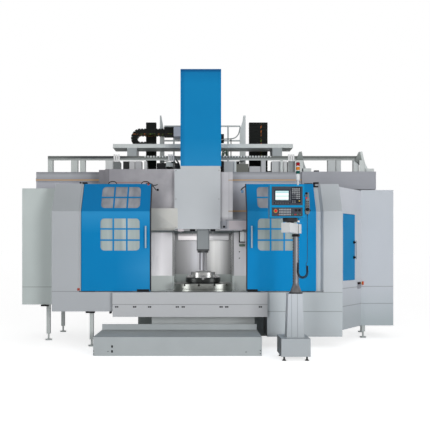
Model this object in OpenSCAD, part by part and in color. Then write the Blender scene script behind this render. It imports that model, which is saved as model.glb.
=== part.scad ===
// Vertical lathe with a fixed cross rail, full guarding and a free-standing control pendant.
// Origin: table axis at floor level. +X right, +Y to the back, +Z up. All sizes in millimetres.

/* [Table and chuck] */
// Diameter of the round table
table_d = 1000; // [800:10:1040]
// Height of the table's underside above the bed's top face
table_lift = 58; // [52:1:66]
// Thickness of the table disc
table_t = 147; // [120:1:150]
// Number of radial T-slots in the table
slot_count = 12; // [8:2:16]
// Width of a T-slot at the face
slot_w = 22; // [16:1:28]
// Diameter of the splash collar round the table
collar_d = 1385; // [1300:5:1500]
// Diameter of the chuck body on the table
chuck_d = 600; // [520:10:680]
// Height of the chuck body
chuck_h = 90; // [70:1:110]
// Outer diameter of the ring workpiece
work_d = 414; // [340:1:430]
// Inner diameter of the ring workpiece
work_bore = 250; // [180:1:290]
// Height of the workpiece above the chuck body
work_h = 99; // [70:1:105]
// Height of a top jaw above the chuck body
jaw_h = 45; // [30:1:60]
// Width of a top jaw
jaw_w = 90; // [70:1:110]
// Radial length of a top jaw
jaw_l = 76; // [60:1:90]

/* [Bed and column] */
// Width of the bed
bed_w = 1700; // [1500:10:1900]
// Distance from the table axis to the bed's front
bed_front = 420; // [380:5:500]
// Height of the bed's top face
bed_h = 760; // [740:5:770]
// Outer width of the column
column_w = 2300; // [2100:10:2400]
// Depth of the column, front to back
column_d = 1000; // [900:10:1200]
// Distance from the table axis back to the column's front
column_front = 300; // [290:5:340]
// Width of the recess between the column's legs
recess_w = 1090; // [1060:5:1200]
// Depth of that recess
recess_d = 680; // [600:5:720]

/* [Cross rail] */
// Height of the rail's underside above the floor
rail_bottom = 1896; // [1890:1:1960]
// Height of the rail's section
rail_h = 1007; // [980:1:1040]
// Depth of the rail's section
rail_d = 600; // [560:5:640]
// Distance from the table axis back to the rail's front
rail_front = 260; // [255:1:280]
// Reach of the rail to the left of the table axis
rail_left = 2946; // [2900:5:2990]
// Reach of the rail to the right of the table axis
rail_right = 2700; // [2500:5:2730]
// Height of a guideway strip on the rail's front
way_h = 60; // [40:1:80]
// Thickness of a guideway strip
way_t = 20; // [12:1:24]

/* [Saddle and ram] */
// Width of the saddle housing left of the ram axis
saddle_left = 480; // [440:5:560]
// Width of the saddle housing right of the ram axis
saddle_right = 290; // [260:5:320]
// Distance from the ram axis forward to the housing's front
saddle_front = 280; // [260:5:320]
// Height of the housing's underside
saddle_bottom = 1877; // [1865:1:1890]
// Height of the housing
saddle_h = 1006; // [980:1:1040]
// Side length of the square ram
ram_w = 216; // [180:1:240]
// Height of the ram's lower end in the pose shown
ram_end = 1540; // [1500:1:1600]
// Length of the ram
ram_l = 2050; // [1800:10:2300]
// Diameter of the boring bar
bar_d = 130; // [90:1:150]
// Height of the tower cover
tower_h = 1626; // [1500:1:1800]
// Width of the tower cover left of the ram axis
tower_left = 379; // [340:1:420]
// Width of the tower cover right of the ram axis
tower_right = 303; // [285:1:330]
// Depth of the tower cover
tower_d = 600; // [560:5:600]
// Travel of the saddle each way
saddle_travel = 400; // [200:10:400]

// Outer radius of the drag chain's bend
chain_bend_r = 172; // [160:1:185]
// Height of a drag chain link
chain_h = 108; // [100:1:116]
// Length of a drag chain link
chain_pitch = 52; // [46:1:60]

/* [Guards and doors] */
// Distance from the table axis forward to the door front
door_front = 890; // [870:5:930]
// Width of one sliding door
door_w = 1098; // [1000:1:1100]
// Width of the opening between the open doors
opening_w = 1504; // [1400:2:1560]
// Place of the opening's centre along X
opening_x = -72; // [-90:1:-50]
// Height of the skirt's top ledge
skirt_top = 864; // [850:1:880]
// Height at which the guards bend back
bend_z = 2135; // [2080:1:2160]
// Height of the guards' top edge
guard_top = 2594; // [2540:1:2600]
// Angle by which the upper guards lean back
lean = 30; // [20:1:32]
// Thickness of the sheet in doors and guards
sheet = 6; // [3:0.5:8]
// Depth of a door's folded edge
door_t = 40; // [30:1:50]
// Width of a bar between two window panes
pane_bar = 24; // [10:1:30]
// Radius of a window's outer corners
pane_r = 60; // [30:1:80]
// How far the skirt stands in front of the doors
skirt_out = 100; // [80:1:140]
// Lower edge of the front skirt
skirt_low = 481; // [440:1:520]

/* [Platform] */
// Width of the foot platform
platform_w = 2430; // [2200:10:2600]
// Depth of the foot platform
platform_d = 820; // [700:10:820]
// Height of the foot platform
platform_h = 273; // [240:1:300]

/* [Pendant] */
// Place of the post's axis along X
post_x = 1300; // [1240:5:1360]
// Distance of the post's axis in front of the table axis
post_front = 1870; // [1840:5:1950]
// Diameter of the ribbed post
post_d = 90; // [76:1:100]
// Height of the post's top
post_top = 1760; // [1700:5:1800]
// Width of the control box
console_w = 464; // [440:1:500]
// Height of the control box
console_h = 438; // [420:1:470]
// Depth of the control box
console_d = 240; // [200:1:260]

/* [Hidden] */

$fn = 48;
// Gap left at a sliding face
slide_gap = 0.3;
// Radial clearance of the table's spindle in the bed
spindle_gap = 0.05;
// Clearance between moving guards
run_gap = 15;

// Places worked out from the table
table_low = bed_h + table_lift;
table_top = table_low + table_t;
chuck_top = table_top + chuck_h;
work_top = chuck_top + work_h;
floor_t = 40;
chamber_z = bed_h + floor_t;
spindle_d = 400;
boss_d = 700;
rim_chamfer = 8;
slot_depth = 38;
key_w = 40;
key_h = 30;
jaw_travel = 60;

// Places worked out from the doors
left_x1 = opening_x - opening_w / 2;
left_x0 = left_x1 - door_w;
right_x0 = opening_x + opening_w / 2;
right_x1 = right_x0 + door_w;
door_low = skirt_top + 14;
wall_t = 30;
inner_front = door_front - door_t - run_gap;
left_edge = opening_x - door_w + 50;
right_edge = opening_x + door_w - 50;
left_panel_x0 = left_x0 - 466;
left_panel_x1 = left_x0 - 36;
right_panel_x0 = right_x1 + 115;
right_panel_x1 = right_x1 + 414;
bend_links = 9;
low_links = 5;
chamber_top = 1835;
shield_low = 1860;
shield_step = 2230;
shield_long = 1185;
shield_short = 435;

// Windows of a door: place from its inner edge, rows and columns
window_in = 179;
window_w = 617;
low_row_z = 1517;
low_row_h = 504;
high_row_z = 2189;
high_row_h = 353;

// Places worked out from the rail
rail_top = rail_bottom + rail_h;
rail_back = rail_front + rail_d;
way_low = rail_bottom + 318;
way_high = rail_bottom + 866;
saddle_top = saddle_bottom + saddle_h;
saddle_back = rail_front - way_t - 10;
lip_h = 51;
holder_h = 60;
tower_low = saddle_top + lip_h;
tower_top = tower_low + tower_h;

// Places worked out from the guards
wing_x0 = left_panel_x0 - 667;
wing_front = -210;
wing_back = 900;
wing_low = 604;
wing_top = 2566;
side_x0 = right_panel_x1;
side_y0 = -638;
side_run = 549;
side_rise = 708;
side_top = min(wing_top, bend_z + (side_y0 + door_front - sheet / cos(lean)) / tan(lean) - 8);
side_len = sqrt(side_run * side_run + side_rise * side_rise);
side_turn = atan2(side_rise, side_run);
cabinet_x0 = side_x0 + side_run;
cabinet_w = 562;
cabinet_y0 = side_y0 + side_rise;
cabinet_low = 215;
side_door_s = 161;
side_door_w = 481;
side_door_z0 = 1015;
side_door_z1 = 2127;
hinge_z = [side_door_z0 + 120, side_door_z1 - 180];
hinge_out = 9;
seam_heights = [597, 892];

// Places on top of the rail
beam_low = rail_top + 217;
beam_h = 80;
beam_front = rail_front + 90;
beam_d = 400;
beam_rise = 62;
beam_x0 = -2764;
beam_x1 = 2781;
trough_low = beam_low + beam_h + 145;
trough_h = 70;
trough_half = 1605;
service_front = beam_front + beam_d + 10;
// Vertical chains: left and right edge of each, and their height
chain_spans = [[-1051, -862], [858, 1199]];
stack_h = 990;
// Left and right edge of each post under the beam; the boxes between them also have a height
post_spans = [[-2764, -2680], [-2350, -2235], [-2190, -2101], [-1736, -1606], [-300, -200],
    [1040, 1120], [2229, 2363], [2376, 2460], [2685, 2778]];
box_spans = [[-1600, -1480, 200], [-1425, -1335, 205], [-1330, -1219, 208], [-1208, -1096, 208],
    [-1049, -998, 208], [-655, -535, 110], [380, 560, 208], [595, 815, 160], [825, 1030, 115],
    [1231, 1382, 208], [1440, 1500, 208], [1525, 1648, 208]];
fin_bend_z = rail_top + 790;
fin_tip_z = rail_top + 1110;

// Places on the pendant
base_top = 304;
pedestal_top = 913;
arm_low = post_top;
arm_h = 130;
arm_w = 120;
arm_turn = atan2(-470, -210);
arm_len = 515;
console_x0 = post_x - 407;
console_z0 = arm_low + arm_h + 74;
console_y0 = -post_front - 370;
console_x1 = console_x0 + console_w;
console_y1 = console_y0 + console_d;
console_z1 = console_z0 + console_h;
swivel_reach = 290;
hand_z = console_z0 + 47;

// Thin lead of the hand unit, then the way up to the socket under the control box
lead_d = 7;
curl_d = 36;
gland_h = 25;
socket_h = 30;
lead_down = [[1408, -2180, 1986], [1408, -2180, 1940], [1408, -2180, 1850], [1408, -2180, 1700],
    [1408, -2180, 1550], [1407, -2180, 1440], [1405, -2180, 1360]];
lead_curl = [[1405, -2180, 1360], [1405, -2179, 1280], [1405, -2176, 1205], [1397, -2170, 1177],
    [1377, -2162, 1157], [1348, -2150, 1149], [1320, -2138, 1157], [1300, -2128, 1177],
    [1292, -2120, 1205], [1292, -2113, 1300], [1292, -2110, 1400]];
lead_up = [[1292, -2110, 1400], [1293, -2107, 1470], [1296, -2099, 1600], [1300, -2090, 1750],
    [1302, -2086, 1860], [1302, -2085, 1934]];

// A box from its lowest to its highest corner
module box(low, high) {
    translate(low) cube(high - low);
}

// An outline in Y and Z carried along X
module along_x(x0, x1) {
    translate([x0, 0, 0]) rotate([90, 0, 90]) linear_extrude(x1 - x0) children();
}

// An outline in X and Z carried along Y
module along_y(y0, y1) {
    translate([0, y1, 0]) rotate([90, 0, 0]) linear_extrude(y1 - y0) children();
}

// Side view of a guard: upright, then leaning back, with wall thickness t
module bent_outline(front, t, z0, z1) {
    rise = z1 - bend_z;
    top_y = -front + rise * tan(lean);
    inner_bend = bend_z - t * tan(lean / 2);
    polygon([[-front, z0], [-front, bend_z], [top_y, z1], [top_y + t / cos(lean), z1],
        [-front + t, inner_bend], [-front + t, z0]]);
}

// Rectangle with round corners, lower left corner at the origin
module rounded(w, h, r) {
    union() {
        translate([r, 0]) square([w - 2 * r, h]);
        translate([0, r]) square([w, h - 2 * r]);
        for (x = [r, w - r], y = [r, h - r]) translate([x, y]) circle(r, $fn = 32);
    }
}

// A window's panes: a rounded field divided by thin bars
module panes(w, h, columns, rows) {
    pane_w = (w - (columns - 1) * pane_bar) / columns;
    pane_h = (h - (rows - 1) * pane_bar) / rows;
    intersection() {
        rounded(w, h, pane_r);
        for (i = [0:columns - 1], j = [0:rows - 1])
            translate([i * (pane_w + pane_bar), j * (pane_h + pane_bar)])
                square([pane_w, pane_h]);
    }
}

module bed() {
    flange_w = 100;
    color([0.42, 0.46, 0.47]) difference() {
        union() {
            box([-bed_w / 2, -bed_front, 0], [bed_w / 2, column_front, bed_h]);
            for (side = [-1, 1])
                translate([side * (bed_w + flange_w) / 2, (column_front - bed_front) / 2, 30])
                    cube([flange_w, bed_front + column_front, 60], center = true);
            translate([0, 0, bed_h]) cylinder(h = table_low - 6 - bed_h, d = boss_d);
        }
        translate([0, 0, table_low - 112]) cylinder(h = 200, d = spindle_d + 2 * spindle_gap);
        for (x = [-900, 900], y = [-310, 190])
            translate([x * bed_w / 1700, y, -5]) cylinder(h = 80, r = 15);
    }
}

module column() {
    color([0.55, 0.6, 0.6]) difference() {
        box([-column_w / 2, column_front, 0], [column_w / 2, column_front + column_d, rail_bottom]);
        box([-recess_w / 2 + 4, column_front - 5, bed_h],
            [recess_w / 2 + 4, column_front + recess_d, rail_bottom + 5]);
    }
}

module cross_rail() {
    color([0.66, 0.68, 0.7]) {
        box([-rail_left, rail_front, rail_bottom], [rail_right, rail_back, rail_top]);
        for (z = [way_low, way_high])
            box([-rail_left, rail_front - way_t, z - way_h / 2],
                [rail_right, rail_front, z + way_h / 2]);
    }
}

module rail_cover() {
    cover_x0 = 1739;
    cover_x1 = 3040;
    cover_z0 = wing_top + 24;
    color([0.68, 0.69, 0.72]) {
        box([cover_x0, rail_front - 60, cover_z0], [cover_x1, rail_front - way_t, rail_top]);
        box([rail_right, rail_front - way_t, cover_z0], [cover_x1, rail_back, rail_top]);
    }
}

module chamber_floor() {
    color([0.6, 0.63, 0.63]) difference() {
        union() {
            box([left_edge - wall_t, -inner_front + wall_t, bed_h],
                [right_edge + wall_t, column_front, chamber_z]);
            box([-recess_w / 2 + 4, column_front, bed_h],
                [recess_w / 2 + 4, column_front + recess_d, chamber_z]);
        }
        translate([0, 0, bed_h - 5]) cylinder(h = floor_t + 10, d = boss_d + 20);
    }
}

module table_collar() {
    color([0.62, 0.65, 0.65]) translate([0, 0, chamber_z]) difference() {
        cylinder(h = table_low + 9 - chamber_z, d = collar_d, $fn = 96);
        translate([0, 0, -5]) cylinder(h = 60, d = table_d + 20, $fn = 96);
        translate([-collar_d, column_front - wall_t - 2, -5]) cube([2 * collar_d, collar_d, 60]);
    }
}

module chamber_left_wall() {
    color([0.72, 0.74, 0.75]) {
        box([left_edge - wall_t, -inner_front + wall_t, chamber_z],
            [left_edge, column_front, chamber_top]);
        box([left_edge, column_front - wall_t, chamber_z],
            [-recess_w / 2 + 4, column_front, chamber_top]);
    }
}

module chamber_right_wall() {
    color([0.72, 0.74, 0.75]) {
        box([right_edge, -inner_front + wall_t, chamber_z],
            [right_edge + wall_t, column_front, chamber_top]);
        box([recess_w / 2 + 4, column_front - wall_t, chamber_z],
            [right_edge, column_front, chamber_top]);
    }
}

module chamber_back_wall() {
    x0 = -recess_w / 2 + 4;
    x1 = recess_w / 2 + 4;
    y1 = column_front + recess_d;
    color([0.7, 0.71, 0.73]) {
        box([x0, column_front - wall_t, chamber_z], [x0 + wall_t, y1, chamber_top]);
        box([x1 - wall_t, column_front - wall_t, chamber_z], [x1, y1, chamber_top]);
        box([x0, y1 - wall_t, chamber_z], [x1, y1, chamber_top]);
    }
}

module front_skirt() {
    x0 = left_x1 - 592;
    x1 = right_edge + 25;
    seam = skirt_low + 193;
    front = door_front + skirt_out;
    color([0.72, 0.75, 0.75]) along_x(x0, x1)
        polygon([[-front, skirt_top], [-front, seam], [-front + 6, seam], [-front + 6, skirt_low],
            [-front + 40, skirt_low], [-front + 40, skirt_top - 30], [-inner_front + wall_t, skirt_top - 30],
            [-inner_front + wall_t, skirt_top]]);
}

module door_track() {
    color([0.45, 0.47, 0.48])
        box([left_panel_x1 + 5, -door_front + 4, skirt_top], [right_panel_x0 - 5, -door_front + 34, skirt_top + 6]);
}

module left_front_panel() {
    color([0.67, 0.7, 0.71]) {
        along_x(left_panel_x0, left_panel_x1) bent_outline(door_front, sheet, skirt_top, guard_top);
        along_x(left_panel_x1 - wall_t, left_panel_x1)
            bent_outline(door_front, door_front - inner_front + wall_t, skirt_top, guard_top);
        along_x(left_panel_x1 - wall_t, left_edge)
            bent_outline(inner_front, wall_t, skirt_top, guard_top);
    }
}

module right_front_panel() {
    color([0.67, 0.7, 0.71]) {
        along_x(right_panel_x0, right_panel_x1) bent_outline(door_front, sheet, skirt_top, guard_top);
        along_x(right_panel_x0, right_panel_x0 + wall_t)
            bent_outline(door_front, door_front - inner_front + wall_t, skirt_top, guard_top);
        along_x(right_edge, right_panel_x0 + wall_t)
            bent_outline(inner_front, wall_t, skirt_top, guard_top);
    }
}

module left_lower_panel() {
    color([0.67, 0.7, 0.71])
        box([left_panel_x0, -door_front, 556], [left_x1 - 592, -inner_front + wall_t, skirt_top]);
}

module right_lower_cabinet() {
    seam = 4;
    corner = [side_x0 - wall_t * sin(side_turn) - 0.5, side_y0 + wall_t * cos(side_turn)];
    color([0.67, 0.7, 0.71]) difference() {
        translate([0, 0, 158]) linear_extrude(skirt_top - 158) polygon([[right_edge + wall_t, -door_front],
            [right_panel_x1, -door_front], [right_panel_x1, side_y0 - 0.5], [corner[0], side_y0 - 0.5],
            [corner[0], -inner_front + 500], [right_edge + wall_t, -inner_front + 500]]);
        box([0, -door_front - 5, 555], [right_panel_x1 + 5, -door_front + seam, 555 + seam]);
    }
}

module left_wing() {
    seam = 4;
    color([0.7, 0.73, 0.74]) {
        difference() {
            box([wing_x0, wing_front, wing_low], [left_panel_x0 + sheet, wing_front + wall_t, wing_top]);
            box([wing_x0 - 5, wing_front - 5, 900], [left_panel_x0, wing_front + seam, 900 + seam]);
        }
        box([wing_x0, wing_front, wing_low], [wing_x0 + wall_t, wing_back, wing_top]);
        box([wing_x0, wing_back - wall_t, wing_low], [left_panel_x0 + sheet, wing_back, wing_top]);
        along_x(left_panel_x0, left_panel_x0 + sheet)
            polygon([[-door_front + sheet, skirt_top], [-door_front + sheet, bend_z - sheet * tan(lean / 2)],
                [-door_front + sheet / cos(lean) + (guard_top - bend_z) * tan(lean), guard_top],
                [wing_front + wall_t, guard_top], [wing_front + wall_t, skirt_top]]);
    }
}

module right_side_panel() {
    color([0.68, 0.71, 0.72]) {
        box([side_x0 - wall_t, -door_front + sheet, skirt_top], [side_x0, side_y0, bend_z - sheet]);
        translate([side_x0, side_y0, 0]) rotate([0, 0, side_turn]) difference() {
            box([0, 0, cabinet_low], [side_len, wall_t, side_top]);
            for (z = seam_heights) box([-5, -5, z], [side_len + 5, 4, z + 4]);
            box([side_door_s, -5, side_door_z0], [side_door_s + side_door_w, wall_t + 5, side_door_z1]);
        }
        translate([side_x0, side_y0, 0]) rotate([0, 0, side_turn]) for (z = hinge_z) {
            translate([side_door_s, -hinge_out, z - 50]) cylinder(h = 50, d = 16);
            box([side_door_s - 40, -3, z - 50], [side_door_s, 1, z]);
        }
    }
}

module electrical_cabinet() {
    seam = 4;
    color([0.7, 0.72, 0.75]) difference() {
        box([cabinet_x0, cabinet_y0, cabinet_low], [cabinet_x0 + cabinet_w, wing_back, wing_top]);
        for (z = seam_heights) box([cabinet_x0 - 5, cabinet_y0 - 5, z],
            [cabinet_x0 + cabinet_w + 5, cabinet_y0 + seam, z + seam]);
        box([cabinet_x0 + 52, cabinet_y0 - 5, cabinet_low + 40],
            [cabinet_x0 + 52 + seam, cabinet_y0 + seam, seam_heights[0]]);
    }
}

// A leg of square tube with a round levelling foot
module leg(x, y, z1) {
    translate([x, y, 0]) {
        cylinder(h = 20, d = 110);
        cylinder(h = 130, d = 30);
        translate([-30, -30, 110]) cube([60, 60, z1 - 110]);
    }
}

module support_legs() {
    color([0.6, 0.64, 0.65]) {
        leg(wing_x0 + 438, wing_front + 40, wing_low);
        leg(wing_x0 + 449, wing_back - 40, wing_low);
        leg(left_panel_x0 + 618, -inner_front - 10 + wall_t, 556);
        leg(cabinet_x0 + 48, cabinet_y0 + 50, cabinet_low);
        leg(cabinet_x0 + 202, wing_back - 80, cabinet_low);
        leg(right_panel_x1 - 742, -door_front + 80, 158);
    }
}

module foot_platform() {
    x0 = left_x0 + 332;
    y1 = -door_front;
    color([0.5, 0.53, 0.53]) {
        box([x0, y1 - platform_d, 0], [x0 + platform_w, y1, platform_h]);
        box([x0, y1 - 20, platform_h], [x0 + platform_w, y1, platform_h + 87]);
    }
}

// Long open gutter on posts above the rail; its floor falls towards the front
module service_beam() {
    wall = 8;
    color([0.55, 0.58, 0.58]) along_x(beam_x0, beam_x1)
        polygon([[beam_front, beam_low], [beam_front + beam_d, beam_low + beam_rise],
            [beam_front + beam_d, beam_low + beam_h], [beam_front + beam_d - wall, beam_low + beam_h],
            [beam_front + beam_d - wall, beam_low + beam_rise + wall], [beam_front + wall, beam_low + wall],
            [beam_front + wall, beam_low + beam_h], [beam_front, beam_low + beam_h]]);
}

module cable_trough() {
    wall = 8;
    tray_y1 = beam_front + beam_d;
    color([0.66, 0.69, 0.69]) along_x(-trough_half, trough_half)
        polygon([[beam_front, trough_low], [tray_y1, trough_low], [tray_y1, trough_low + trough_h],
            [tray_y1 - wall, trough_low + trough_h], [tray_y1 - wall, trough_low + wall],
            [beam_front + wall, trough_low + wall], [beam_front + wall, trough_low + trough_h],
            [beam_front, trough_low + trough_h]]);
}

// Gussets at the beam's right end and the two blocks that carry the trough
module beam_brackets() {
    color([0.62, 0.65, 0.65]) {
        for (spot = [[1655, 1], [2700, 1.28]]) along_y(beam_front - 40, beam_front)
            translate([spot[0], 0]) scale([spot[1], 1])
                polygon([[0, beam_low - 10], [55, trough_low - 78], [100, trough_low - 70],
                    [140, rail_top + 165], [175, rail_top + 70], [260, rail_top + 22], [260, rail_top],
                    [120, rail_top], [85, rail_top + 120]]);
        for (x = [-1350, 1240])
            box([x, beam_front, beam_low + beam_h], [x + 170, beam_front + beam_d, trough_low]);
    }
}

// Upright plate that narrows to a tip at its outer edge
module fin_outline() {
    polygon([[-42, rail_top], [42, rail_top], [42, fin_tip_z], [16, fin_tip_z], [-42, fin_bend_z]]);
}

module chain_fins() {
    color([0.6, 0.62, 0.62]) along_y(service_front, service_front + 30) {
        translate([738, 0]) fin_outline();
        translate([-753, 0]) mirror([1, 0]) fin_outline();
    }
}

module service_rail() {
    tube = 28;
    y = service_front + 15;
    color([0.6, 0.62, 0.62]) {
        for (x = [-535, 0, 468]) translate([x, y, rail_top]) cylinder(h = 915, d = tube);
        for (z = [rail_top + 646, rail_top + 915])
            translate([-711, y, z]) rotate([0, 90, 0]) cylinder(h = 1407, d = tube);
    }
}

module vertical_chains() {
    rows = 17;
    step = stack_h / rows;
    color([0.12, 0.12, 0.13]) for (span = chain_spans) {
        box([span[0] + 10, service_front + 8, rail_top], [span[1] - 10, service_front + 82, rail_top + stack_h - 6]);
        for (i = [0:rows - 1])
            box([span[0], service_front, rail_top + i * step], [span[1], service_front + 90, rail_top + (i + 1) * step - 8]);
    }
}

// Posts under the service beam, and the valve and junction boxes between them
module rail_top_boxes() {
    color([0.63, 0.65, 0.66]) {
        for (span = post_spans)
            along_x(span[0], span[1]) polygon([[beam_front, rail_top], [beam_front + 100, rail_top],
                [beam_front + 100, beam_low + beam_rise * 100 / beam_d], [beam_front, beam_low]]);
        for (span = box_spans)
            box([span[0], beam_front + 20, rail_top], [span[1], beam_front + 220, rail_top + span[2]]);
    }
}

module saddle() {
    hole = ram_w + 1;
    color([0.71, 0.73, 0.75]) difference() {
        union() {
            box([-saddle_left, -saddle_front, saddle_bottom], [saddle_right, saddle_back, saddle_top]);
            box([-tower_left, -saddle_front, saddle_top], [saddle_right, saddle_back, tower_low]);
            for (z = [way_low, way_high])
                box([-saddle_left + 20, saddle_back, z - way_h / 2 + 5],
                    [saddle_right - 20, rail_front - way_t - slide_gap, z + way_h / 2 - 5]);
        }
        box([-hole / 2, -hole / 2, saddle_bottom - 5], [hole / 2, hole / 2, tower_low + 5]);
    }
}

module saddle_shield_left() {
    color([0.6, 0.6, 0.63]) {
        box([-saddle_left - shield_long, -140, shield_step], [-saddle_left, -120, rail_top - 3]);
        box([-saddle_left - shield_short, -140, shield_low], [-saddle_left, -120, shield_step]);
        box([-saddle_left - shield_long - 109, -120, shield_step + 70],
            [-saddle_left - shield_long + 65, -105, rail_top - 13]);
    }
}

module saddle_shield_right() {
    color([0.68, 0.67, 0.68]) {
        box([saddle_right, -140, shield_low + 185], [saddle_right + 215, 200, rail_top - 53]);
        box([saddle_right, -140, shield_low], [saddle_right + 380, 100, shield_low + 185]);
    }
}

module ram_tower() {
    wall = 10;
    color([0.106, 0.49, 0.722]) difference() {
        box([-tower_left, -saddle_front, tower_low], [tower_right, -saddle_front + tower_d, tower_top]);
        box([-tower_left + wall, -saddle_front + wall, tower_low - 5],
            [tower_right - wall, -saddle_front + tower_d - wall, tower_top - wall]);
    }
}

// One link of a straight stretch: two side plates and a bar across the top and the bottom
module chain_link(y0, y1) {
    gap = 5;
    plate = 16;
    for (y = [y0, y1 - plate]) along_y(y, y + plate) polygon([[gap, 8], [14, 0], [chain_pitch - 14, 0],
        [chain_pitch - gap, 8], [chain_pitch - gap, chain_h - 8], [chain_pitch - 14, chain_h],
        [14, chain_h], [gap, chain_h - 8]]);
    for (z = [4, chain_h - 14]) box([chain_pitch * 0.3, y0 + 2, z], [chain_pitch * 0.7, y1 - 2, z + 10]);
}

// One link in the bend, narrower on its inner side
module bend_link(y0, y1) {
    long = chain_pitch * 0.72;
    plate = 16;
    for (y = [y0, y1 - plate]) along_y(y, y + plate) polygon([[long * 0.3, 0], [long * 0.7, 0],
        [long * 0.82, chain_h * 0.5], [long * 1.15, chain_h], [-long * 0.15, chain_h],
        [long * 0.18, chain_h * 0.5]]);
    box([long * 0.25, y0 + 2, chain_h - 14], [long * 0.75, y1 - 2, chain_h - 4]);
}

module drag_chain() {
    y0 = beam_front + 60;
    y1 = beam_front + 260;
    low = trough_low + 13;
    bend_x = -1116;
    end_x = -tower_left - 138;
    turn = 180 / bend_links;
    mid_r = chain_bend_r - chain_h / 2;
    upper = low + 2 * chain_bend_r - chain_h;
    color([0.1, 0.1, 0.11]) {
        along_y(y0 + 14, y1 - 14) {
            translate([bend_x, low + chain_bend_r]) difference() {
                circle(chain_bend_r - 12, $fn = 64);
                circle(chain_bend_r - chain_h + 12, $fn = 64);
                translate([0, -2 * chain_bend_r]) square(4 * chain_bend_r);
            }
            translate([bend_x, low + 12]) square([low_links * chain_pitch, chain_h - 24]);
            translate([bend_x, upper + 12]) square([end_x - bend_x, chain_h - 24]);
        }
        for (i = [0:low_links - 1]) translate([bend_x + i * chain_pitch, 0, low]) chain_link(y0, y1);
        for (i = [0:floor((end_x - 180 - bend_x) / chain_pitch) - 1])
            translate([bend_x + i * chain_pitch, 0, upper]) chain_link(y0, y1);
        for (i = [0:bend_links - 1]) translate([bend_x, 0, low + chain_bend_r])
            rotate([0, -(i + 0.5) * turn, 0]) translate([-chain_pitch * 0.36, 0, mid_r - chain_h / 2])
                bend_link(y0, y1);
        box([end_x - 180, y0 - 10, low + 2 * chain_bend_r - chain_h - 18],
            [end_x, y1 + 10, low + 2 * chain_bend_r + 25]);
        box([end_x, -saddle_front + tower_d - 60, low + 2 * chain_bend_r - chain_h - 60],
            [-tower_left, y1, low + 2 * chain_bend_r]);
    }
}

module ram() {
    half = ram_w / 2;
    cut = 14;
    color([0.6, 0.62, 0.64]) translate([0, 0, ram_end]) linear_extrude(ram_l) polygon([[-half + cut, -half],
        [half - cut, -half], [half, -half + cut], [half, half - cut], [half - cut, half], [-half + cut, half],
        [-half, half - cut], [-half, -half + cut]]);
}

module tool_holder() {
    half = ram_w / 2;
    color([0.2, 0.2, 0.21]) {
        box([-half, -half, ram_end - 26], [half, half, ram_end]);
        translate([0, 0, ram_end - holder_h]) cylinder(h = holder_h - 20, d = bar_d + 60);
    }
}

module boring_bar() {
    low = work_top + 10;
    color([0.3, 0.3, 0.32]) {
        translate([0, 0, low + 12]) cylinder(h = ram_end - holder_h - low - 12, d = bar_d);
        translate([0, 0, low + 12]) rotate([0, 0, 20]) box([0, -12, -12], [bar_d / 2 + 10, 12, 18]);
    }
}

module table() {
    r = table_d / 2;
    groove_z = table_low + table_t * 0.35;
    color([0.75, 0.77, 0.79]) difference() {
        rotate_extrude($fn = 128) polygon([[0, table_low - 106], [spindle_d / 2, table_low - 106],
            [spindle_d / 2, table_low], [r - rim_chamfer, table_low], [r, table_low + rim_chamfer],
            [r, groove_z], [r - 5, groove_z + 4], [r - 5, groove_z + 10], [r, groove_z + 14],
            [r, table_top - rim_chamfer], [r - rim_chamfer, table_top], [0, table_top]]);
        for (i = [0:slot_count - 1]) rotate([0, 0, i * 360 / slot_count - 8])
            translate([chuck_d / 2 - 20, 0, table_top - slot_depth]) {
                translate([0, -slot_w / 2, 0]) cube([table_d, slot_w, slot_depth + 10]);
                translate([0, -slot_w * 0.85, 0]) cube([table_d, slot_w * 1.7, slot_depth * 0.42]);
            }
    }
}

module chuck_body() {
    r = chuck_d / 2;
    color([0.25, 0.26, 0.28]) translate([0, 0, table_top]) difference() {
        rotate_extrude($fn = 128) polygon([[0, 0], [r - 14, 0], [r - 14, 12], [r, 20], [r, chuck_h - 8],
            [r - 8, chuck_h], [0, chuck_h]]);
        for (i = [0:3]) rotate([0, 0, i * 90]) {
            translate([work_d / 2 - 30, -key_w / 2 - slide_gap, chuck_h - key_h])
                cube([chuck_d, key_w + 2 * slide_gap, key_h + 10]);
            translate([r - 30, 0, chuck_h / 2 - 12]) rotate([0, 90, 0]) cylinder(h = 60, d = 24);
        }
        for (i = [0:3]) rotate([0, 0, 45 + i * 90]) translate([r - 45, 0, chuck_h - 14]) cylinder(h = 30, d = 40);
    }
}

module workpiece() {
    r = work_d / 2;
    color([0.82, 0.83, 0.84]) translate([0, 0, chuck_top]) rotate_extrude($fn = 128)
        polygon([[0, 0], [r, 0], [r, work_h - 12], [r - 6, work_h - 6], [work_bore / 2 + 14, work_h - 6],
            [work_bore / 2 + 10, work_h], [work_bore / 2, work_h], [work_bore / 2 - 4, work_h - 4],
            [work_bore / 2 - 4, 34], [0, 34]]);
}

// A top jaw on its key, drawn on the right of the chuck
module jaw() {
    grip = work_d / 2 + slide_gap;
    step = jaw_h * 0.45;
    base = chuck_top + slide_gap;
    color([0.8, 0.81, 0.82]) difference() {
        union() {
            along_y(-jaw_w / 2, jaw_w / 2) polygon([[grip, base], [grip + jaw_l, base],
                [grip + jaw_l, base + step], [grip + jaw_l - 8, base + step + 6],
                [grip + jaw_l * 0.62, base + step + 6], [grip + jaw_l * 0.62, base + jaw_h],
                [grip + 6, base + jaw_h], [grip, base + jaw_h - 6]]);
            translate([grip, -key_w / 2, base - key_h + 2 * slide_gap])
                cube([jaw_l, key_w, key_h + 1]);
        }
        for (x = [0.3, 0.8]) translate([grip + jaw_l * x, 0, base + step - 14]) cylinder(h = jaw_h, d = 20);
    }
}

module jaw_right() { jaw(); }
module jaw_back() { rotate([0, 0, 90]) jaw(); }
module jaw_left() { rotate([0, 0, 180]) jaw(); }
module jaw_front() { rotate([0, 0, 270]) jaw(); }

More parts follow.
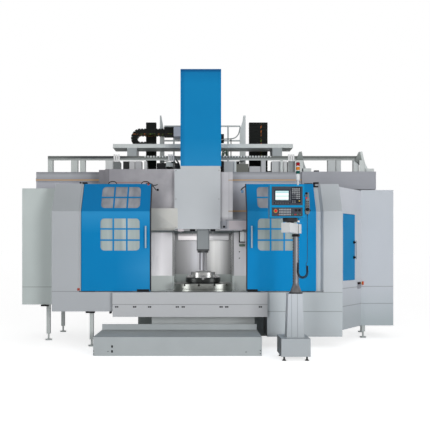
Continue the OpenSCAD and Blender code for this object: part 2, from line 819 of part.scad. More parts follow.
// Folded sheet door, drawn from its inner edge at x = 0 outwards to the left
module door_skin() {
    difference() {
        along_x(-door_w, 0) bent_outline(door_front, door_t, door_low, guard_top);
        along_x(-door_w + sheet, -sheet)
            bent_outline(door_front - sheet, door_t, door_low + sheet, guard_top - sheet);
        translate([-window_in - window_w, 0, low_row_z]) along_y(-door_front - 5, -door_front + sheet + 5)
            panes(window_w, low_row_h, 3, 3);
        translate([-window_in - window_w, 0, high_row_z]) along_y(-door_front - 5, -inner_front + 400)
            panes(window_w, high_row_h, 3, 2);
    }
}

module door_glass() {
    margin = 30;
    along_x(-window_in - window_w - margin, -window_in + margin) {
        translate([-door_front + sheet, low_row_z - margin]) square([5, low_row_h + 2 * margin]);
        intersection() {
            bent_outline(door_front - sheet, 5, low_row_z, guard_top);
            translate([-door_front, high_row_z - margin]) square([600, high_row_h + 2 * margin]);
        }
    }
}

module door_fittings() {
    color([0.85, 0.87, 0.87]) {
        translate([-80, -door_front - 50, 1556]) cylinder(h = 347, d = 28);
        for (z = [1585, 1874]) translate([-80, -door_front, z]) rotate([90, 0, 0]) cylinder(h = 50, d = 20);
    }
    color([0.15, 0.15, 0.16]) for (x = [-220, -door_w + 20])
        box([x, -door_front - 15, skirt_top + 6 + slide_gap], [x + 200, -door_front + 30, door_low]);
}

module left_door() { color([0.106, 0.49, 0.722]) translate([left_x1, 0, 0]) door_skin(); }
module left_door_glass() { color([0.7, 0.75, 0.75]) translate([left_x1, 0, 0]) door_glass(); }
module left_door_fittings() { translate([left_x1, 0, 0]) door_fittings(); }
module right_door() { color([0.106, 0.49, 0.722]) translate([right_x0, 0, 0]) mirror([1, 0, 0]) door_skin(); }
module right_door_glass() { color([0.7, 0.75, 0.75]) translate([right_x0, 0, 0]) mirror([1, 0, 0]) door_glass(); }
module right_door_fittings() { translate([right_x0, 0, 0]) mirror([1, 0, 0]) door_fittings(); }

module side_door() {
    gap = 5;
    color([0.106, 0.49, 0.722]) translate([side_x0, side_y0, 0]) rotate([0, 0, side_turn]) {
        box([side_door_s + gap, 0, side_door_z0 + gap],
            [side_door_s + side_door_w - gap, 20, side_door_z1 - gap]);
        for (z = hinge_z) {
            translate([side_door_s, -hinge_out, z + slide_gap]) cylinder(h = 60, d = 16);
            box([side_door_s, -3, z + slide_gap], [side_door_s + 40, 1, z + 60 + slide_gap]);
        }
    }
}

module main_switch() {
    color([0.85, 0.1, 0.1]) translate([cabinet_x0 + 26, cabinet_y0 - slide_gap, 952]) {
        rotate([90, 0, 0]) cylinder(h = 12, d = 40);
        box([-8, -40, -32], [8, -10, 32]);
    }
}

module pedestal_base() {
    color([0.72, 0.75, 0.76]) {
        box([post_x - 234, -post_front - 230, 57], [post_x + 169, -post_front + 230, base_top]);
        for (x = [-190, 125], y = [-190, 190]) translate([post_x + x, -post_front + y, 0]) {
            cylinder(h = 14, d1 = 62, d2 = 46);
            cylinder(h = 60, d = 26);
        }
        hull() {
            box([post_x - 141, -post_front - 110, base_top - 2], [post_x + 104, -post_front + 110, base_top]);
            box([post_x - 120, -post_front - 95, pedestal_top - 1], [post_x + 76, -post_front + 95, pedestal_top]);
        }
    }
}

module pedestal_post() {
    rib = 40;
    color([0.8, 0.82, 0.83]) translate([post_x, -post_front, pedestal_top]) {
        cylinder(h = 118, d1 = 179, d2 = post_d);
        cylinder(h = post_top - pedestal_top - 6, d = post_d - 12);
        for (z = [120:rib:post_top - pedestal_top - rib])
            translate([0, 0, z]) cylinder(h = rib / 2, d = post_d);
    }
}

module pendant_arm() {
    color([0.78, 0.8, 0.81]) {
        translate([post_x, -post_front, arm_low]) rotate([0, 0, arm_turn])
            box([-80, -arm_w / 2, 0], [arm_len, arm_w / 2, arm_h]);
        translate([post_x, -post_front, arm_low - 6 + slide_gap]) cylinder(h = 16, d = post_d);
    }
    color([0.12, 0.12, 0.13]) translate([post_x, -post_front, arm_low + arm_h - 10])
        rotate([0, 0, arm_turn]) translate([swivel_reach, 0, 0]) {
            cylinder(h = 40, d = 100);
            translate([0, 0, 30]) cylinder(h = console_z0 - arm_low - arm_h - 20, d = 200);
        }
}

module control_box() {
    out = lead_up[len(lead_up) - 1];
    color([0.106, 0.49, 0.722]) {
        box([console_x0, console_y0, console_z0], [console_x1, console_y1, console_z1]);
        translate([out[0], out[1], console_z0 - socket_h]) cylinder(h = socket_h + 1, d = 26);
    }
}

module operator_panel() {
    color([0.25, 0.26, 0.28]) {
        box([console_x0 + 25, console_y0 - 8, console_z0 + 165], [console_x1 - 25, console_y0, console_z1 - 20]);
        box([console_x0 + 25, console_y0 - 8, console_z0 + 15], [console_x1 - 25, console_y0, console_z0 + 135]);
    }
}

module stack_light() {
    color([0.9, 0.9, 0.9]) translate([post_x - 10, console_y0 + 120, console_z1])
        rotate_extrude() polygon([[0, 0], [32, 0], [32, 8], [11, 12], [11, 70], [20, 74], [27, 90],
            [27, 160], [24, 162], [24, 165], [27, 167], [27, 201], [24, 203], [24, 213], [27, 215],
            [27, 257], [24, 259], [24, 271], [27, 273], [27, 314], [20, 324], [0, 324]]);
}

module hand_unit() {
    x0 = console_x1 + 18;
    color([0.6, 0.62, 0.63]) along_y(console_y0 + 25, console_y0 + 80)
        polygon([[x0 + 10, hand_z], [x0 + 48, hand_z], [x0 + 58, hand_z + 20], [x0 + 58, hand_z + 215],
            [x0 + 50, hand_z + 228], [x0 + 50, hand_z + 292], [x0 + 26, hand_z + 292], [x0 + 26, hand_z + 232],
            [x0 + 6, hand_z + 215], [x0, hand_z + 20]]);
    color([0.12, 0.12, 0.13]) {
        for (z = [40, 240])
            box([console_x1, console_y0 + 40, hand_z + z], [x0 + 30, console_y0 + 65, hand_z + z + 25]);
        translate([lead_down[0][0], lead_down[0][1], hand_z - gland_h]) cylinder(h = gland_h + 1, d1 = 11, d2 = 17);
    }
}

function unit(v) = v / norm(v);
function heading(p, i) = unit(p[min(i + 1, len(p) - 1)] - p[max(i - 1, 0)]);

// Rings of a round tube along the points p
function tube_points(p, r, n) = [for (i = [0:len(p) - 1])
    let (t = heading(p, i), u = unit(cross(t, [1, 0, 0.001])), v = cross(t, u))
        for (k = [0:n - 1]) p[i] + r * (cos(360 * k / n) * u + sin(360 * k / n) * v)];
function tube_faces(m, n) = concat(
    [[for (k = [0:n - 1]) n - 1 - k]],
    [for (i = [0:m - 2], k = [0:n - 1])
        [i * n + k, i * n + (k + 1) % n, (i + 1) * n + (k + 1) % n, (i + 1) * n + k]],
    [[for (k = [0:n - 1]) (m - 1) * n + k]]);

module tube_along(p, d, n) {
    polyhedron(tube_points(p, d / 2, n), tube_faces(len(p), n));
}

module cord_lead() {
    color([0.08, 0.08, 0.08]) {
        tube_along(lead_down, lead_d, 8);
        tube_along(lead_up, lead_d, 8);
    }
}

module cord_curl() {
    color([0.08, 0.08, 0.08]) tube_along(lead_curl, curl_d, 10);
}

bed();
column();
cross_rail();
rail_cover();
chamber_floor();
table_collar();
chamber_left_wall();
chamber_right_wall();
chamber_back_wall();
front_skirt();
door_track();
left_front_panel();
right_front_panel();
left_lower_panel();
right_lower_cabinet();
left_wing();
right_side_panel();
electrical_cabinet();
support_legs();
foot_platform();
service_beam();
cable_trough();
beam_brackets();
chain_fins();
service_rail();
vertical_chains();
rail_top_boxes();
saddle();
saddle_shield_left();
saddle_shield_right();
ram_tower();
drag_chain();
ram();
tool_holder();
boring_bar();
table();
chuck_body();
workpiece();
jaw_right();
jaw_back();
jaw_left();
jaw_front();
left_door();
left_door_glass();
left_door_fittings();
right_door();
right_door_glass();
right_door_fittings();
side_door();
pedestal_base();
pedestal_post();
pendant_arm();
control_box();
operator_panel();
stack_light();
hand_unit();
cord_lead();
cord_curl();
main_switch();
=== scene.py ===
import math
import bmesh
import bpy
import numpy as np
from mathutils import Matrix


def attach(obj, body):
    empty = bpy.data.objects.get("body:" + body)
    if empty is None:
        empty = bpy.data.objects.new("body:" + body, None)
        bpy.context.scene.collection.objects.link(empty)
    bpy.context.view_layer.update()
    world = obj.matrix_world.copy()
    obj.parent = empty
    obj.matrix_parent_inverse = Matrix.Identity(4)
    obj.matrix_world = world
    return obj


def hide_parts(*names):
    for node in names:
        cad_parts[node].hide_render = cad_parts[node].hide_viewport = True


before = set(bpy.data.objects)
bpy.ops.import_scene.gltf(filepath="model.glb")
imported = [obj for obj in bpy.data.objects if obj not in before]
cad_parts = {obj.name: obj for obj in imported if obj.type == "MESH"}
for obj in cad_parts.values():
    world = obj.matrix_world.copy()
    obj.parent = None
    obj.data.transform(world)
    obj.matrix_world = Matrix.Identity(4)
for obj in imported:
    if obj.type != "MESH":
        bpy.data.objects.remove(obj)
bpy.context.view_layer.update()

# The camera stands about ten metres in front of the machine at a person's eye height, level and
# square to the cross rail. Its shift frames the machine as the catalogue view does.
camera = bpy.data.objects.new("camera", bpy.data.cameras.new("camera"))
camera.location = (-0.052, -10.34, 1.525)
camera.rotation_euler = (math.pi / 2, 0, 0)
camera.data.lens = 50.23
camera.data.sensor_width = 36
camera.data.shift_x = 0.0349
camera.data.shift_y = 0.0814
bpy.context.scene.collection.objects.link(camera)
bpy.context.scene.camera = camera
bpy.context.scene.view_settings.view_transform = "Standard"


# Lead of the hand unit: a 7 mm rubber cord that hangs from the unit's gland, winds into a curly
# part that sags in a U beside the post, and climbs to the socket under the control box.
class Tone:
    """A socket of a shader: + - * / on it build Math nodes, and node() makes any other node."""

    def __init__(self, tree, socket):
        self.tree, self.socket = tree, socket

    def feed(self, socket, value):
        if isinstance(value, Tone):
            self.tree.links.new(value.socket, socket)
        elif socket.type == "RGBA" and len(value) == 3:
            socket.default_value = (*value, 1)
        else:
            socket.default_value = value

    def node(self, kind, settings=None, inputs=None, out=0):
        """A node of this type: its settings first, then the values or links of its sockets."""
        new = self.tree.nodes.new(kind)
        for name, value in (settings or {}).items():
            if name == "stops":
                ramp = new.color_ramp.elements
                ramp.remove(ramp[1])
                ramp[0].position, ramp[0].color = value[0][0], (*value[0][1], 1)
                for spot, colour in value[1:]:
                    ramp.new(spot).color = (*colour, 1)
            elif name == "hold":
                new.color_ramp.interpolation = "CONSTANT"
            else:
                setattr(new, name, value)
        for name, value in (inputs or {}).items():
            self.feed(new.inputs[name], value)
        return Tone(self.tree, new.outputs[out])

    def _math(self, operation, a, b):
        return self.node("ShaderNodeMath", {"operation": operation}, {0: a, 1: b})

    def __add__(self, other):
        return self._math("ADD", self, other)

    def __radd__(self, other):
        return self._math("ADD", other, self)

    def __sub__(self, other):
        return self._math("SUBTRACT", self, other)

    def __rsub__(self, other):
        return self._math("SUBTRACT", other, self)

    def __mul__(self, other):
        return self._math("MULTIPLY", self, other)

    def __rmul__(self, other):
        return self._math("MULTIPLY", other, self)


def finish(name, **numbers):
    """A new material, its Principled shader's sockets and a Tone on Object coordinates.
    The numbers, such as metallic=1, are set on the shader's own sockets."""
    coat = bpy.data.materials.new(name)
    coat.use_nodes = True
    sockets = coat.node_tree.nodes["Principled BSDF"].inputs
    for word, value in numbers.items():
        sockets[word.replace("_", " ").title().replace("Ior", "IOR")].default_value = value
    coords = coat.node_tree.nodes.new("ShaderNodeTexCoord")
    return coat, sockets, Tone(coat.node_tree, coords.outputs["Object"])


def chip(red, green, blue, gain=1.0):
    """A paint chip's screen values from 0 to 255 as linear numbers, lightened by gain."""
    return tuple(min(1.0, gain * (c / 255) ** 2.2) for c in (red, green, blue))


def cloud(place, scale, detail=2, stretch=(1, 1, 1)):
    """Soft random spots 1 / scale metres across, drawn out along an axis where stretch is small."""
    spread = place.node("ShaderNodeMapping", None, {"Vector": place, "Scale": stretch})
    return place.node("ShaderNodeTexNoise", None, {"Vector": spread, "Scale": scale, "Detail": detail})


def ramp(value, start, end):
    """0 below start, 1 above end, and a straight line between."""
    return value.node("ShaderNodeMapRange", None, {0: value, 1: start, 2: end})


def mixed(mask, low, high):
    """The colour low where the mask is 0 and high where it is 1."""
    return mask.node("ShaderNodeMix", {"data_type": "RGBA"}, {0: mask, 6: low, 7: high}, 2)


def relief(height, depth, strength=1.0):
    """A normal that tilts as if the surface rose by depth metres times the height."""
    return height.node("ShaderNodeBump", None, {"Strength": strength, "Distance": depth, "Height": height})


def eased(x):
    """0 to 1 with level ends: 3 x^2 - 2 x^3."""
    x = np.clip(x, 0, 1)
    return x * x * (3 - 2 * x)


def flowing(points, count):
    """A smooth line through given points, in metres: cubic pieces over the chord length, whose
    slope at a point comes from its two neighbours, laid out again in even steps."""
    p = np.array(points, float) / 1000
    s = np.append(0, np.cumsum(np.linalg.norm(np.diff(p, axis=0), axis=1)))
    slope = np.gradient(p, s, axis=0)
    t = np.linspace(0, s[-1], 50 * len(p))
    i = np.clip(np.searchsorted(s, t, "right") - 1, 0, len(p) - 2)
    h = (s[i + 1] - s[i])[:, None]
    f = (t - s[i])[:, None] / h
    line = ((2 * f**3 - 3 * f**2 + 1) * p[i] + (f**3 - 2 * f**2 + f) * h * slope[i]
            + (3 * f**2 - 2 * f**3) * p[i + 1] + (f**3 - f**2) * h * slope[i + 1])
    run = np.append(0, np.cumsum(np.linalg.norm(np.diff(line, axis=0), axis=1)))
    even = np.linspace(0, run[-1], count)
    return np.stack([np.interp(even, run, line[:, k]) for k in range(3)], 1), run[-1]


def curled(core, core_length, coil_r, pitch, shift=0.025, wrap=0.040):
    """A cord wound round a core line: it leaves the line sideways over one shift, then its slope
    turns over one wrap from along the core to the coil's own slope, and back at the far end."""
    lay = math.atan(pitch / (2 * math.pi * coil_r))
    tilt = math.pi / 2 + (lay - math.pi / 2) * eased(np.linspace(0, 1, 200))
    climb = wrap * np.sin(tilt).mean()
    total = (core_length - 2 * shift - 2 * climb) / math.sin(lay) + 2 * wrap
    run = np.linspace(0, total, 4 * int(total / 0.0066))
    tilt = math.pi / 2 + (lay - math.pi / 2) * eased(np.minimum(run, total - run) / wrap)
    rise = np.append(0, np.cumsum(np.diff(run) * np.sin((tilt[1:] + tilt[:-1]) / 2)))
    turn = np.append(0, np.cumsum(np.diff(run) * np.cos((tilt[1:] + tilt[:-1]) / 2))) / coil_r
    rise = rise[::4] * (core_length - 2 * shift) / rise[-1] + shift
    turn = turn[::4]
    lead = np.linspace(0, 1, 12, endpoint=False)
    along = np.concatenate([lead * shift, rise, core_length - lead[::-1] * shift])
    angle = np.concatenate([0 * lead, turn, turn[-1] + 0 * lead])
    radius = np.concatenate([coil_r * eased(lead), coil_r + 0 * turn, coil_r * eased(lead[::-1])])
    even = np.linspace(0, core_length, len(core))
    heading = np.gradient(core, axis=0)
    centre, heading = (np.stack([np.interp(along, even, a[:, k]) for k in range(3)], 1)
                       for a in (core, heading))
    heading /= np.linalg.norm(heading, axis=1, keepdims=True)
    deep = np.array([0, 1, 0]) - heading[:, 1:2] * heading
    deep /= np.linalg.norm(deep, axis=1, keepdims=True)
    side = np.cross(deep, heading)
    return centre + radius[:, None] * (np.cos(angle)[:, None] * side + np.sin(angle)[:, None] * deep)


lead_d = 0.007
lead_down, _ = flowing([[1408, -2180, 1986], [1408, -2180, 1940], [1408, -2180, 1850], [1408, -2180, 1700],
                        [1408, -2180, 1550], [1407, -2180, 1440], [1405, -2180, 1360]], 16)
curl_core, curl_run = flowing([[1405, -2180, 1360], [1405, -2179, 1280], [1405, -2176, 1205],
                               [1397, -2170, 1177], [1377, -2162, 1157], [1348, -2150, 1149],
                               [1320, -2138, 1157], [1300, -2128, 1177], [1292, -2120, 1205],
                               [1292, -2113, 1300], [1292, -2110, 1400]], 400)
lead_up, _ = flowing([[1292, -2110, 1400], [1293, -2107, 1470], [1296, -2099, 1600], [1300, -2090, 1750],
                      [1302, -2086, 1860], [1302, -2085, 1934]], 16)
lead_line = np.concatenate([lead_down[:-1], curled(curl_core, curl_run, 0.0145, 0.010), lead_up])
spine = bpy.data.curves.new("hand_unit_lead", "CURVE")
spine.dimensions = "3D"
spine.bevel_depth = lead_d / 2
spine.bevel_resolution = 1
spine.use_fill_caps = True
strand = spine.splines.new("POLY")
strand.points.add(len(lead_line) - 1)
strand.points.foreach_set("co", np.hstack([lead_line, np.ones((len(lead_line), 1))]).ravel())
lead = bpy.data.objects.new("hand_unit_lead", spine)
bpy.context.scene.collection.objects.link(lead)
rubber, sockets, place = finish("rubber", roughness=0.45)
place.feed(sockets["Base Color"], mixed(cloud(place, 90), chip(16, 16, 17), chip(40, 40, 42)))
place.feed(sockets["Normal"], relief(cloud(place, 900, 1), 0.0002))
spine.materials.append(rubber)
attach(lead, "pendant")
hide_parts("cord_lead", "cord_curl")

# Floor and light: a pale studio floor that runs out to white, an even sky, a wide soft light from
# the front right and a weaker one from the front left. Camera and mirror rays see plain white.
ground = bpy.data.meshes.new("floor")
ground.from_pydata([(-90, -60, 0), (90, -60, 0), (90, 300, 0), (-90, 300, 0)], [], [(0, 1, 2, 3)])
floor = bpy.data.objects.new("floor", ground)
bpy.context.scene.collection.objects.link(floor)
pale, sockets, place = finish("pale_floor", roughness=0.9)
seen = Tone(place.tree, place.node("ShaderNodeLightPath").socket)
place.feed(sockets["Base Color"], mixed(cloud(place, 0.7), (0.80, 0.80, 0.80), (0.84, 0.84, 0.84)))
place.feed(sockets["Emission Color"], (1, 1, 1))
place.feed(sockets["Emission Strength"], seen * 0.66)
ground.materials.append(pale)

sky = bpy.data.worlds.new("studio")
bpy.context.scene.world = sky
sky.use_nodes = True
path = Tone(sky.node_tree, sky.node_tree.nodes.new("ShaderNodeLightPath").outputs["Is Camera Ray"])
rays = path.socket.node.outputs
white_rays = path + Tone(path.tree, rays["Is Glossy Ray"]) + Tone(path.tree, rays["Is Transmission Ray"])
backdrop = sky.node_tree.nodes["Background"]
backdrop.inputs["Color"].default_value = (1, 1, 1, 1)
path.feed(backdrop.inputs["Strength"], 0.33 + 0.67 * ramp(white_rays, 0, 1))
for name, spot, aim, size, power in (("key", (4.4, -12.0, 2.3), (0.2, 0, 1.6), 3.0, 575),
                                     ("fill", (-3.9, -12.0, 2.0), (-0.2, 0, 1.6), 3.0, 330),
                                     ("top", (0, 0.4, 1.8), (0.001, 0.4, 0), 1.0, 5.5),
                                     ("strip_left", (-0.90, -0.65, 1.0), (0, -0.3, 1.0), 0.4, 2.2),
                                     ("strip_right", (0.80, -0.65, 1.0), (0, -0.3, 1.0), 0.4, 2.2)):
    lamp = bpy.data.objects.new(name, bpy.data.lights.new(name, "AREA"))
    lamp.location = spot
    lamp.data.size = size
    lamp.data.energy = power
    lamp.visible_camera = False
    lamp.visible_glossy = size == 0.4
    direction = np.array(aim) - np.array(spot)
    lamp.rotation_euler = (math.acos(-direction[2] / np.linalg.norm(direction)), 0,
                           math.atan2(direction[1], direction[0]) - math.pi / 2)
    bpy.context.scene.collection.objects.link(lamp)


# Bed and column: ribbed iron castings under a thick grey-green machine enamel, bolted to the
# foundation through four holes in the bed's side flanges, each with a washer and a hexagon nut.
def skin(name, points, ring=True, caps=True, crease=35):
    """A mesh over whole grids of points: rows run along the form and columns round it. With ring the
    last column meets the first, and with caps the first and last rows are closed."""
    stack = np.asarray(points, float)
    stack = stack[None] if stack.ndim == 3 else stack
    copies, rows, cols, _ = stack.shape
    i, j = np.meshgrid(np.arange(rows - 1), np.arange(cols if ring else cols - 1), indexing="ij")
    k = (j + 1) % cols
    quads = np.stack([i * cols + j, i * cols + k, (i + 1) * cols + k, (i + 1) * cols + j], -1).reshape(-1, 4)
    starts = np.arange(copies)[:, None, None] * rows * cols
    faces = (quads[None] + starts).reshape(-1, 4).tolist()
    if caps:
        loop = np.arange(cols)
        faces += (loop[None, ::-1] + starts[:, 0]).tolist()
        faces += (loop[None] + starts[:, 0] + (rows - 1) * cols).tolist()
    mesh = bpy.data.meshes.new(name)
    mesh.from_pydata(stack.reshape(-1, 3).tolist(), [], faces)
    work = bmesh.new()
    work.from_mesh(mesh)
    bmesh.ops.recalc_face_normals(work, faces=work.faces)
    work.to_mesh(mesh)
    work.free()
    mesh.polygons.foreach_set("use_smooth", np.ones(len(mesh.polygons), bool))
    mesh.set_sharp_from_angle(angle=math.radians(crease))
    return mesh


def fit(name, points, coat, body="root", slot=None, **how):
    """Hangs a new piece on a body, in one coat. The slot, the record's slot for its finish, is not used."""
    mesh = skin(name, points, **how)
    mesh.materials.append(coat)
    piece = bpy.data.objects.new(name, mesh)
    bpy.context.scene.collection.objects.link(piece)
    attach(piece, body)
    return piece


def dress(coat, *nodes):
    """Gives CAD nodes a coat of this scene."""
    for node in nodes:
        for place_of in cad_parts[node].material_slots:
            place_of.material = coat


def turned(profile, foot, axis=(0, 0, 1), steps=32):
    """A turned form: the point at a profile's (radius, height) and angle a lies at
    foot + axis x height + radius x (side x cos a + across x sin a)."""
    profile, axis = np.array(profile, float), np.array(axis, float) / np.linalg.norm(axis)
    side = np.cross(axis, (0.31, 0.95, 0.05))
    side /= np.linalg.norm(side)
    across = np.cross(axis, side)
    a = np.linspace(0, 2 * math.pi, steps, endpoint=False)[None, :, None]
    radius, height = profile[:, :1, None], profile[:, 1:, None]
    return np.array(foot, float)[..., None, None, :] + axis * height + radius * (
        side * np.cos(a) + across * np.sin(a))


def bump(value, middle, half):
    """1 at the middle, falling evenly to 0 at half a width on each side of it."""
    return ramp(value, middle - half, middle) - ramp(value, middle, middle + half)


def enamel(name, light, dark, rough=0.42, peel=0.0002, soil=0.0, seams=(), slope=0.0, side=None, low=None):
    """Sprayed paint: two shades of one colour in wide clouds, gloss that drifts by a tenth, a fine
    orange peel, and a little dust that fades out half a metre above the floor. Joints at the seam
    heights are darker. Painted shade: the sloped part above the bend is a shade deeper, less so high
    up, and all that lies left of the given X, a face in shadow, is much deeper. Under the height low
    the paint turns softly a shade darker and greener."""
    coat, sockets, place = finish(name, roughness=rough, specular_ior_level=0.2)
    across, high = (place.node("ShaderNodeSeparateXYZ", None, {0: place}, k) for k in (0, 2))
    tone = mixed(cloud(place, 1.1, 3), dark, light)
    if soil:
        dust = (1 - ramp(high, 0.0, 0.5)) * cloud(place, 5, 4) * soil
        tone = mixed(dust, tone, chip(120, 116, 106))
    # Painted shade on the sloped part above the bend, weaker higher up.
    if slope:
        tone = mixed(slope * ramp(high, 2.132, 2.138) * (1 - 0.6 * ramp(high, 2.3, 2.6)), tone, (0.02, 0.06, 0.045))
    if low:
        tone = mixed(0.3 * (1 - ramp(high, low - 0.3, low + 0.3)), tone, chip(110, 138, 132))
    # Painted shade: a deep dark on the face left of the given X, which stands in shadow.
    if side:
        tone = mixed(0.85 * (1 - ramp(across, side - 0.0002, side + 0.0002)), tone, chip(20, 26, 24))
    for seam in seams:
        tone = mixed(0.5 * bump(high, seam, 0.009), tone, chip(60, 64, 66))
    place.feed(sockets["Base Color"], tone)
    place.feed(sockets["Roughness"], rough - 0.05 + 0.1 * cloud(place, 7))
    place.feed(sockets["Normal"], relief(cloud(place, 240, 1), peel))
    return coat


casting = enamel("casting_enamel", chip(214, 219, 220), chip(200, 206, 207), 0.5, 0.0008, 0.3)
dress(casting, "bed")
dress(enamel("column_enamel", chip(158, 165, 165), chip(138, 146, 147), 0.5, 0.0008, 0.4), "column")
zinc, sockets, place = finish("zinc_plate", metallic=0.9, roughness=0.4)
place.feed(sockets["Base Color"], mixed(cloud(place, 60), chip(150, 152, 154), chip(188, 189, 190)))
bolt_spots = np.array([[x, y, 0.060] for x in (-0.9, 0.9) for y in (-0.31, 0.19)])
fit("foundation_washers", turned([[0.017, 0], [0.032, 0], [0.032, 0.004], [0.017, 0.004]], bolt_spots),
    zinc, slot="machine_grey")
fit("foundation_nuts", turned([[0.024, 0.004], [0.026, 0.008], [0.026, 0.024], [0.022, 0.028], [0.013, 0.028],
                               [0.0135, 0.046], [0.011, 0.049]], bolt_spots, steps=6), zinc, slot="machine_grey")


# Cross rail: a long ground casting with two hardened guideway strips. A film of slide oil leaves a
# thin amber line along each strip. Folded stainless covers close its right-hand end.
def steel_sheet(name, light, dark, rough=0.34, metal=0.75, grain=(1, 1, 1)):
    """Cold-rolled sheet: two greys in clouds, and fine drawn lines that change gloss and tilt."""
    coat, sockets, place = finish(name, metallic=metal, roughness=rough)
    lines = cloud(place, 40, 3, grain)
    patches = cloud(place, 2.2, 5)
    place.feed(sockets["Base Color"], mixed(0.7 * patches + 0.3 * lines, dark, light))
    place.feed(sockets["Roughness"], rough - 0.1 + 0.12 * lines + 0.1 * patches)
    place.feed(sockets["Normal"], relief(lines, 0.0003))
    return coat


guideway, sockets, place = finish("rail_casting", metallic=0.3, roughness=0.45)
deep, high = (place.node("ShaderNodeSeparateXYZ", None, {0: place}, k) for k in (1, 2))
front = 1 - ramp(deep, 0.2405, 0.2410)
film = front * (bump(high, 2.212, 0.015) + bump(high, 2.759, 0.014))
levels = high.node("ShaderNodeValToRGB", {"stops": [
    (0.0, chip(150, 151, 157)), (0.2, chip(178, 179, 185)), (0.3, chip(150, 151, 157)),
    (0.42, chip(176, 176, 182)), (0.68, chip(198, 200, 209)), (0.80, chip(198, 200, 209)),
    (0.86, chip(164, 166, 173)), (0.94, chip(184, 186, 192)), (1.0, chip(140, 143, 148))]},
    {0: ramp(high, 1.896, 2.903)})
body_tone = mixed(0.35 * cloud(place, 1.6, 5, (0.5, 1, 1)), levels, chip(120, 122, 128))
across = place.node("ShaderNodeSeparateXYZ", None, {0: place}, 0)
body_tone = mixed(0.5 * bump(across, -1.75, 0.6), body_tone, chip(84, 84, 90))
place.feed(sockets["Base Color"], mixed(film, body_tone, chip(204, 150, 58)))
place.feed(sockets["Roughness"], 0.36 + 0.14 * cloud(place, 9) - 0.1 * film)
place.feed(sockets["Normal"], relief(cloud(place, 60, 3, (0.05, 1, 1)), 0.0003))
dress(guideway, "cross_rail")
cover_steel = steel_sheet("cover_steel", chip(178, 180, 187), chip(148, 150, 157), 0.5, 0.3, (0.05, 1, 1))
dress(cover_steel, "rail_cover")


# Work chamber: stainless linings with a painted highlight on the left wall and painted highlights and
# shade across the recess, a painted splash band low down, a painted floor and a pressed collar round
# the table that sheds chips and coolant.
lining, sockets, place = finish("chamber_lining", roughness=0.3)
high = place.node("ShaderNodeSeparateXYZ", None, {0: place}, 2)
bare = ramp(high, 1.068, 1.072)
sheen = cloud(place, 2.0, 4, (1.6, 1, 0.25))
across = place.node("ShaderNodeSeparateXYZ", None, {0: place}, 0)
# A painted highlight: a bright vertical band on the left wall, above the splash band.
painted_glare = bump(across, -0.72, 0.20) * bare
place.feed(sockets["Base Color"], mixed(bare, chip(190, 196, 194), mixed(
    painted_glare, mixed(sheen, chip(196, 195, 198), chip(222, 220, 223)), chip(255, 252, 255))))
place.feed(sockets["Roughness"], 0.42 - 0.2 * bare + 0.1 * sheen)
place.feed(sockets["Normal"], relief(cloud(place, 30, 3, (1, 1, 0.05)), 0.0004))
dress(lining, "chamber_left_wall", "chamber_right_wall")
back, sockets, place = finish("recess_lining", metallic=0.4, roughness=0.2)
across, high = (place.node("ShaderNodeSeparateXYZ", None, {0: place}, k) for k in (0, 2))
# Painted highlights and shade: bright vertical bands left and right of the middle, darker towards both side edges of
# the recess, above the splash band.
bands = across.node("ShaderNodeValToRGB", {"stops": [
    (0.0, chip(118, 120, 120)), (0.06, chip(150, 151, 152)), (0.21, chip(176, 176, 178)),
    (0.28, chip(190, 190, 193)), (0.38, chip(224, 224, 230)), (0.57, chip(182, 182, 182)),
    (0.69, chip(250, 250, 248)), (0.78, chip(255, 255, 254)), (0.87, chip(196, 197, 197)),
    (0.95, chip(140, 141, 141)), (1.0, chip(112, 114, 113))]}, {0: ramp(across, -0.545, 0.545)})
streaks = cloud(place, 24, 3, (1, 1, 0.04))
place.feed(sockets["Base Color"], mixed(ramp(high, 1.068, 1.072), chip(178, 185, 183),
                                        mixed(0.4 * streaks, bands, chip(160, 160, 162))))
place.feed(sockets["Roughness"], 0.14 + 0.14 * streaks)
dress(back, "chamber_back_wall")
dress(enamel("chamber_floor_paint", chip(190, 195, 192), chip(168, 173, 170), 0.3), "chamber_floor")
dress(steel_sheet("collar_steel", chip(206, 209, 208), chip(176, 180, 179), 0.28, 0.6), "table_collar")


def pads(centres, width, height, depth, radius, u=(1, 0, 0), v=(0, 0, 1), soft=0.5):
    """Rounded blocks: each outline is four quarter circles about a centre in the plane of u and v,
    and it rises along u x v and draws in by a part, soft, of its corner radius near the top."""
    centres = np.atleast_2d(np.array(centres, float))[:, None, None, :]
    width, height = (np.broadcast_to(np.array(s, float), len(centres))[:, None, None, None]
                     for s in (width, height))
    u, v = np.array(u, float), np.array(v, float)
    a = np.radians(np.repeat([0, 90, 180, 270], 5) + np.tile(np.linspace(0, 90, 5), 4))[None, None, :, None]
    sx, sz = (np.repeat(s, 5)[None, None, :, None] for s in ([1, -1, -1, 1], [1, 1, -1, -1]))
    edge = soft * min(radius, depth)
    rise = np.array([0, depth - edge, depth - 0.3 * edge, depth])[None, :, None, None]
    inset = np.array([0, 0, 0.3 * edge, edge])[None, :, None, None]
    across = sx * (width / 2 - radius) + (radius - inset) * np.cos(a)
    upward = sz * (height / 2 - radius) + (radius - inset) * np.sin(a)
    return centres + u * across + v * upward + np.cross(u, v) * rise


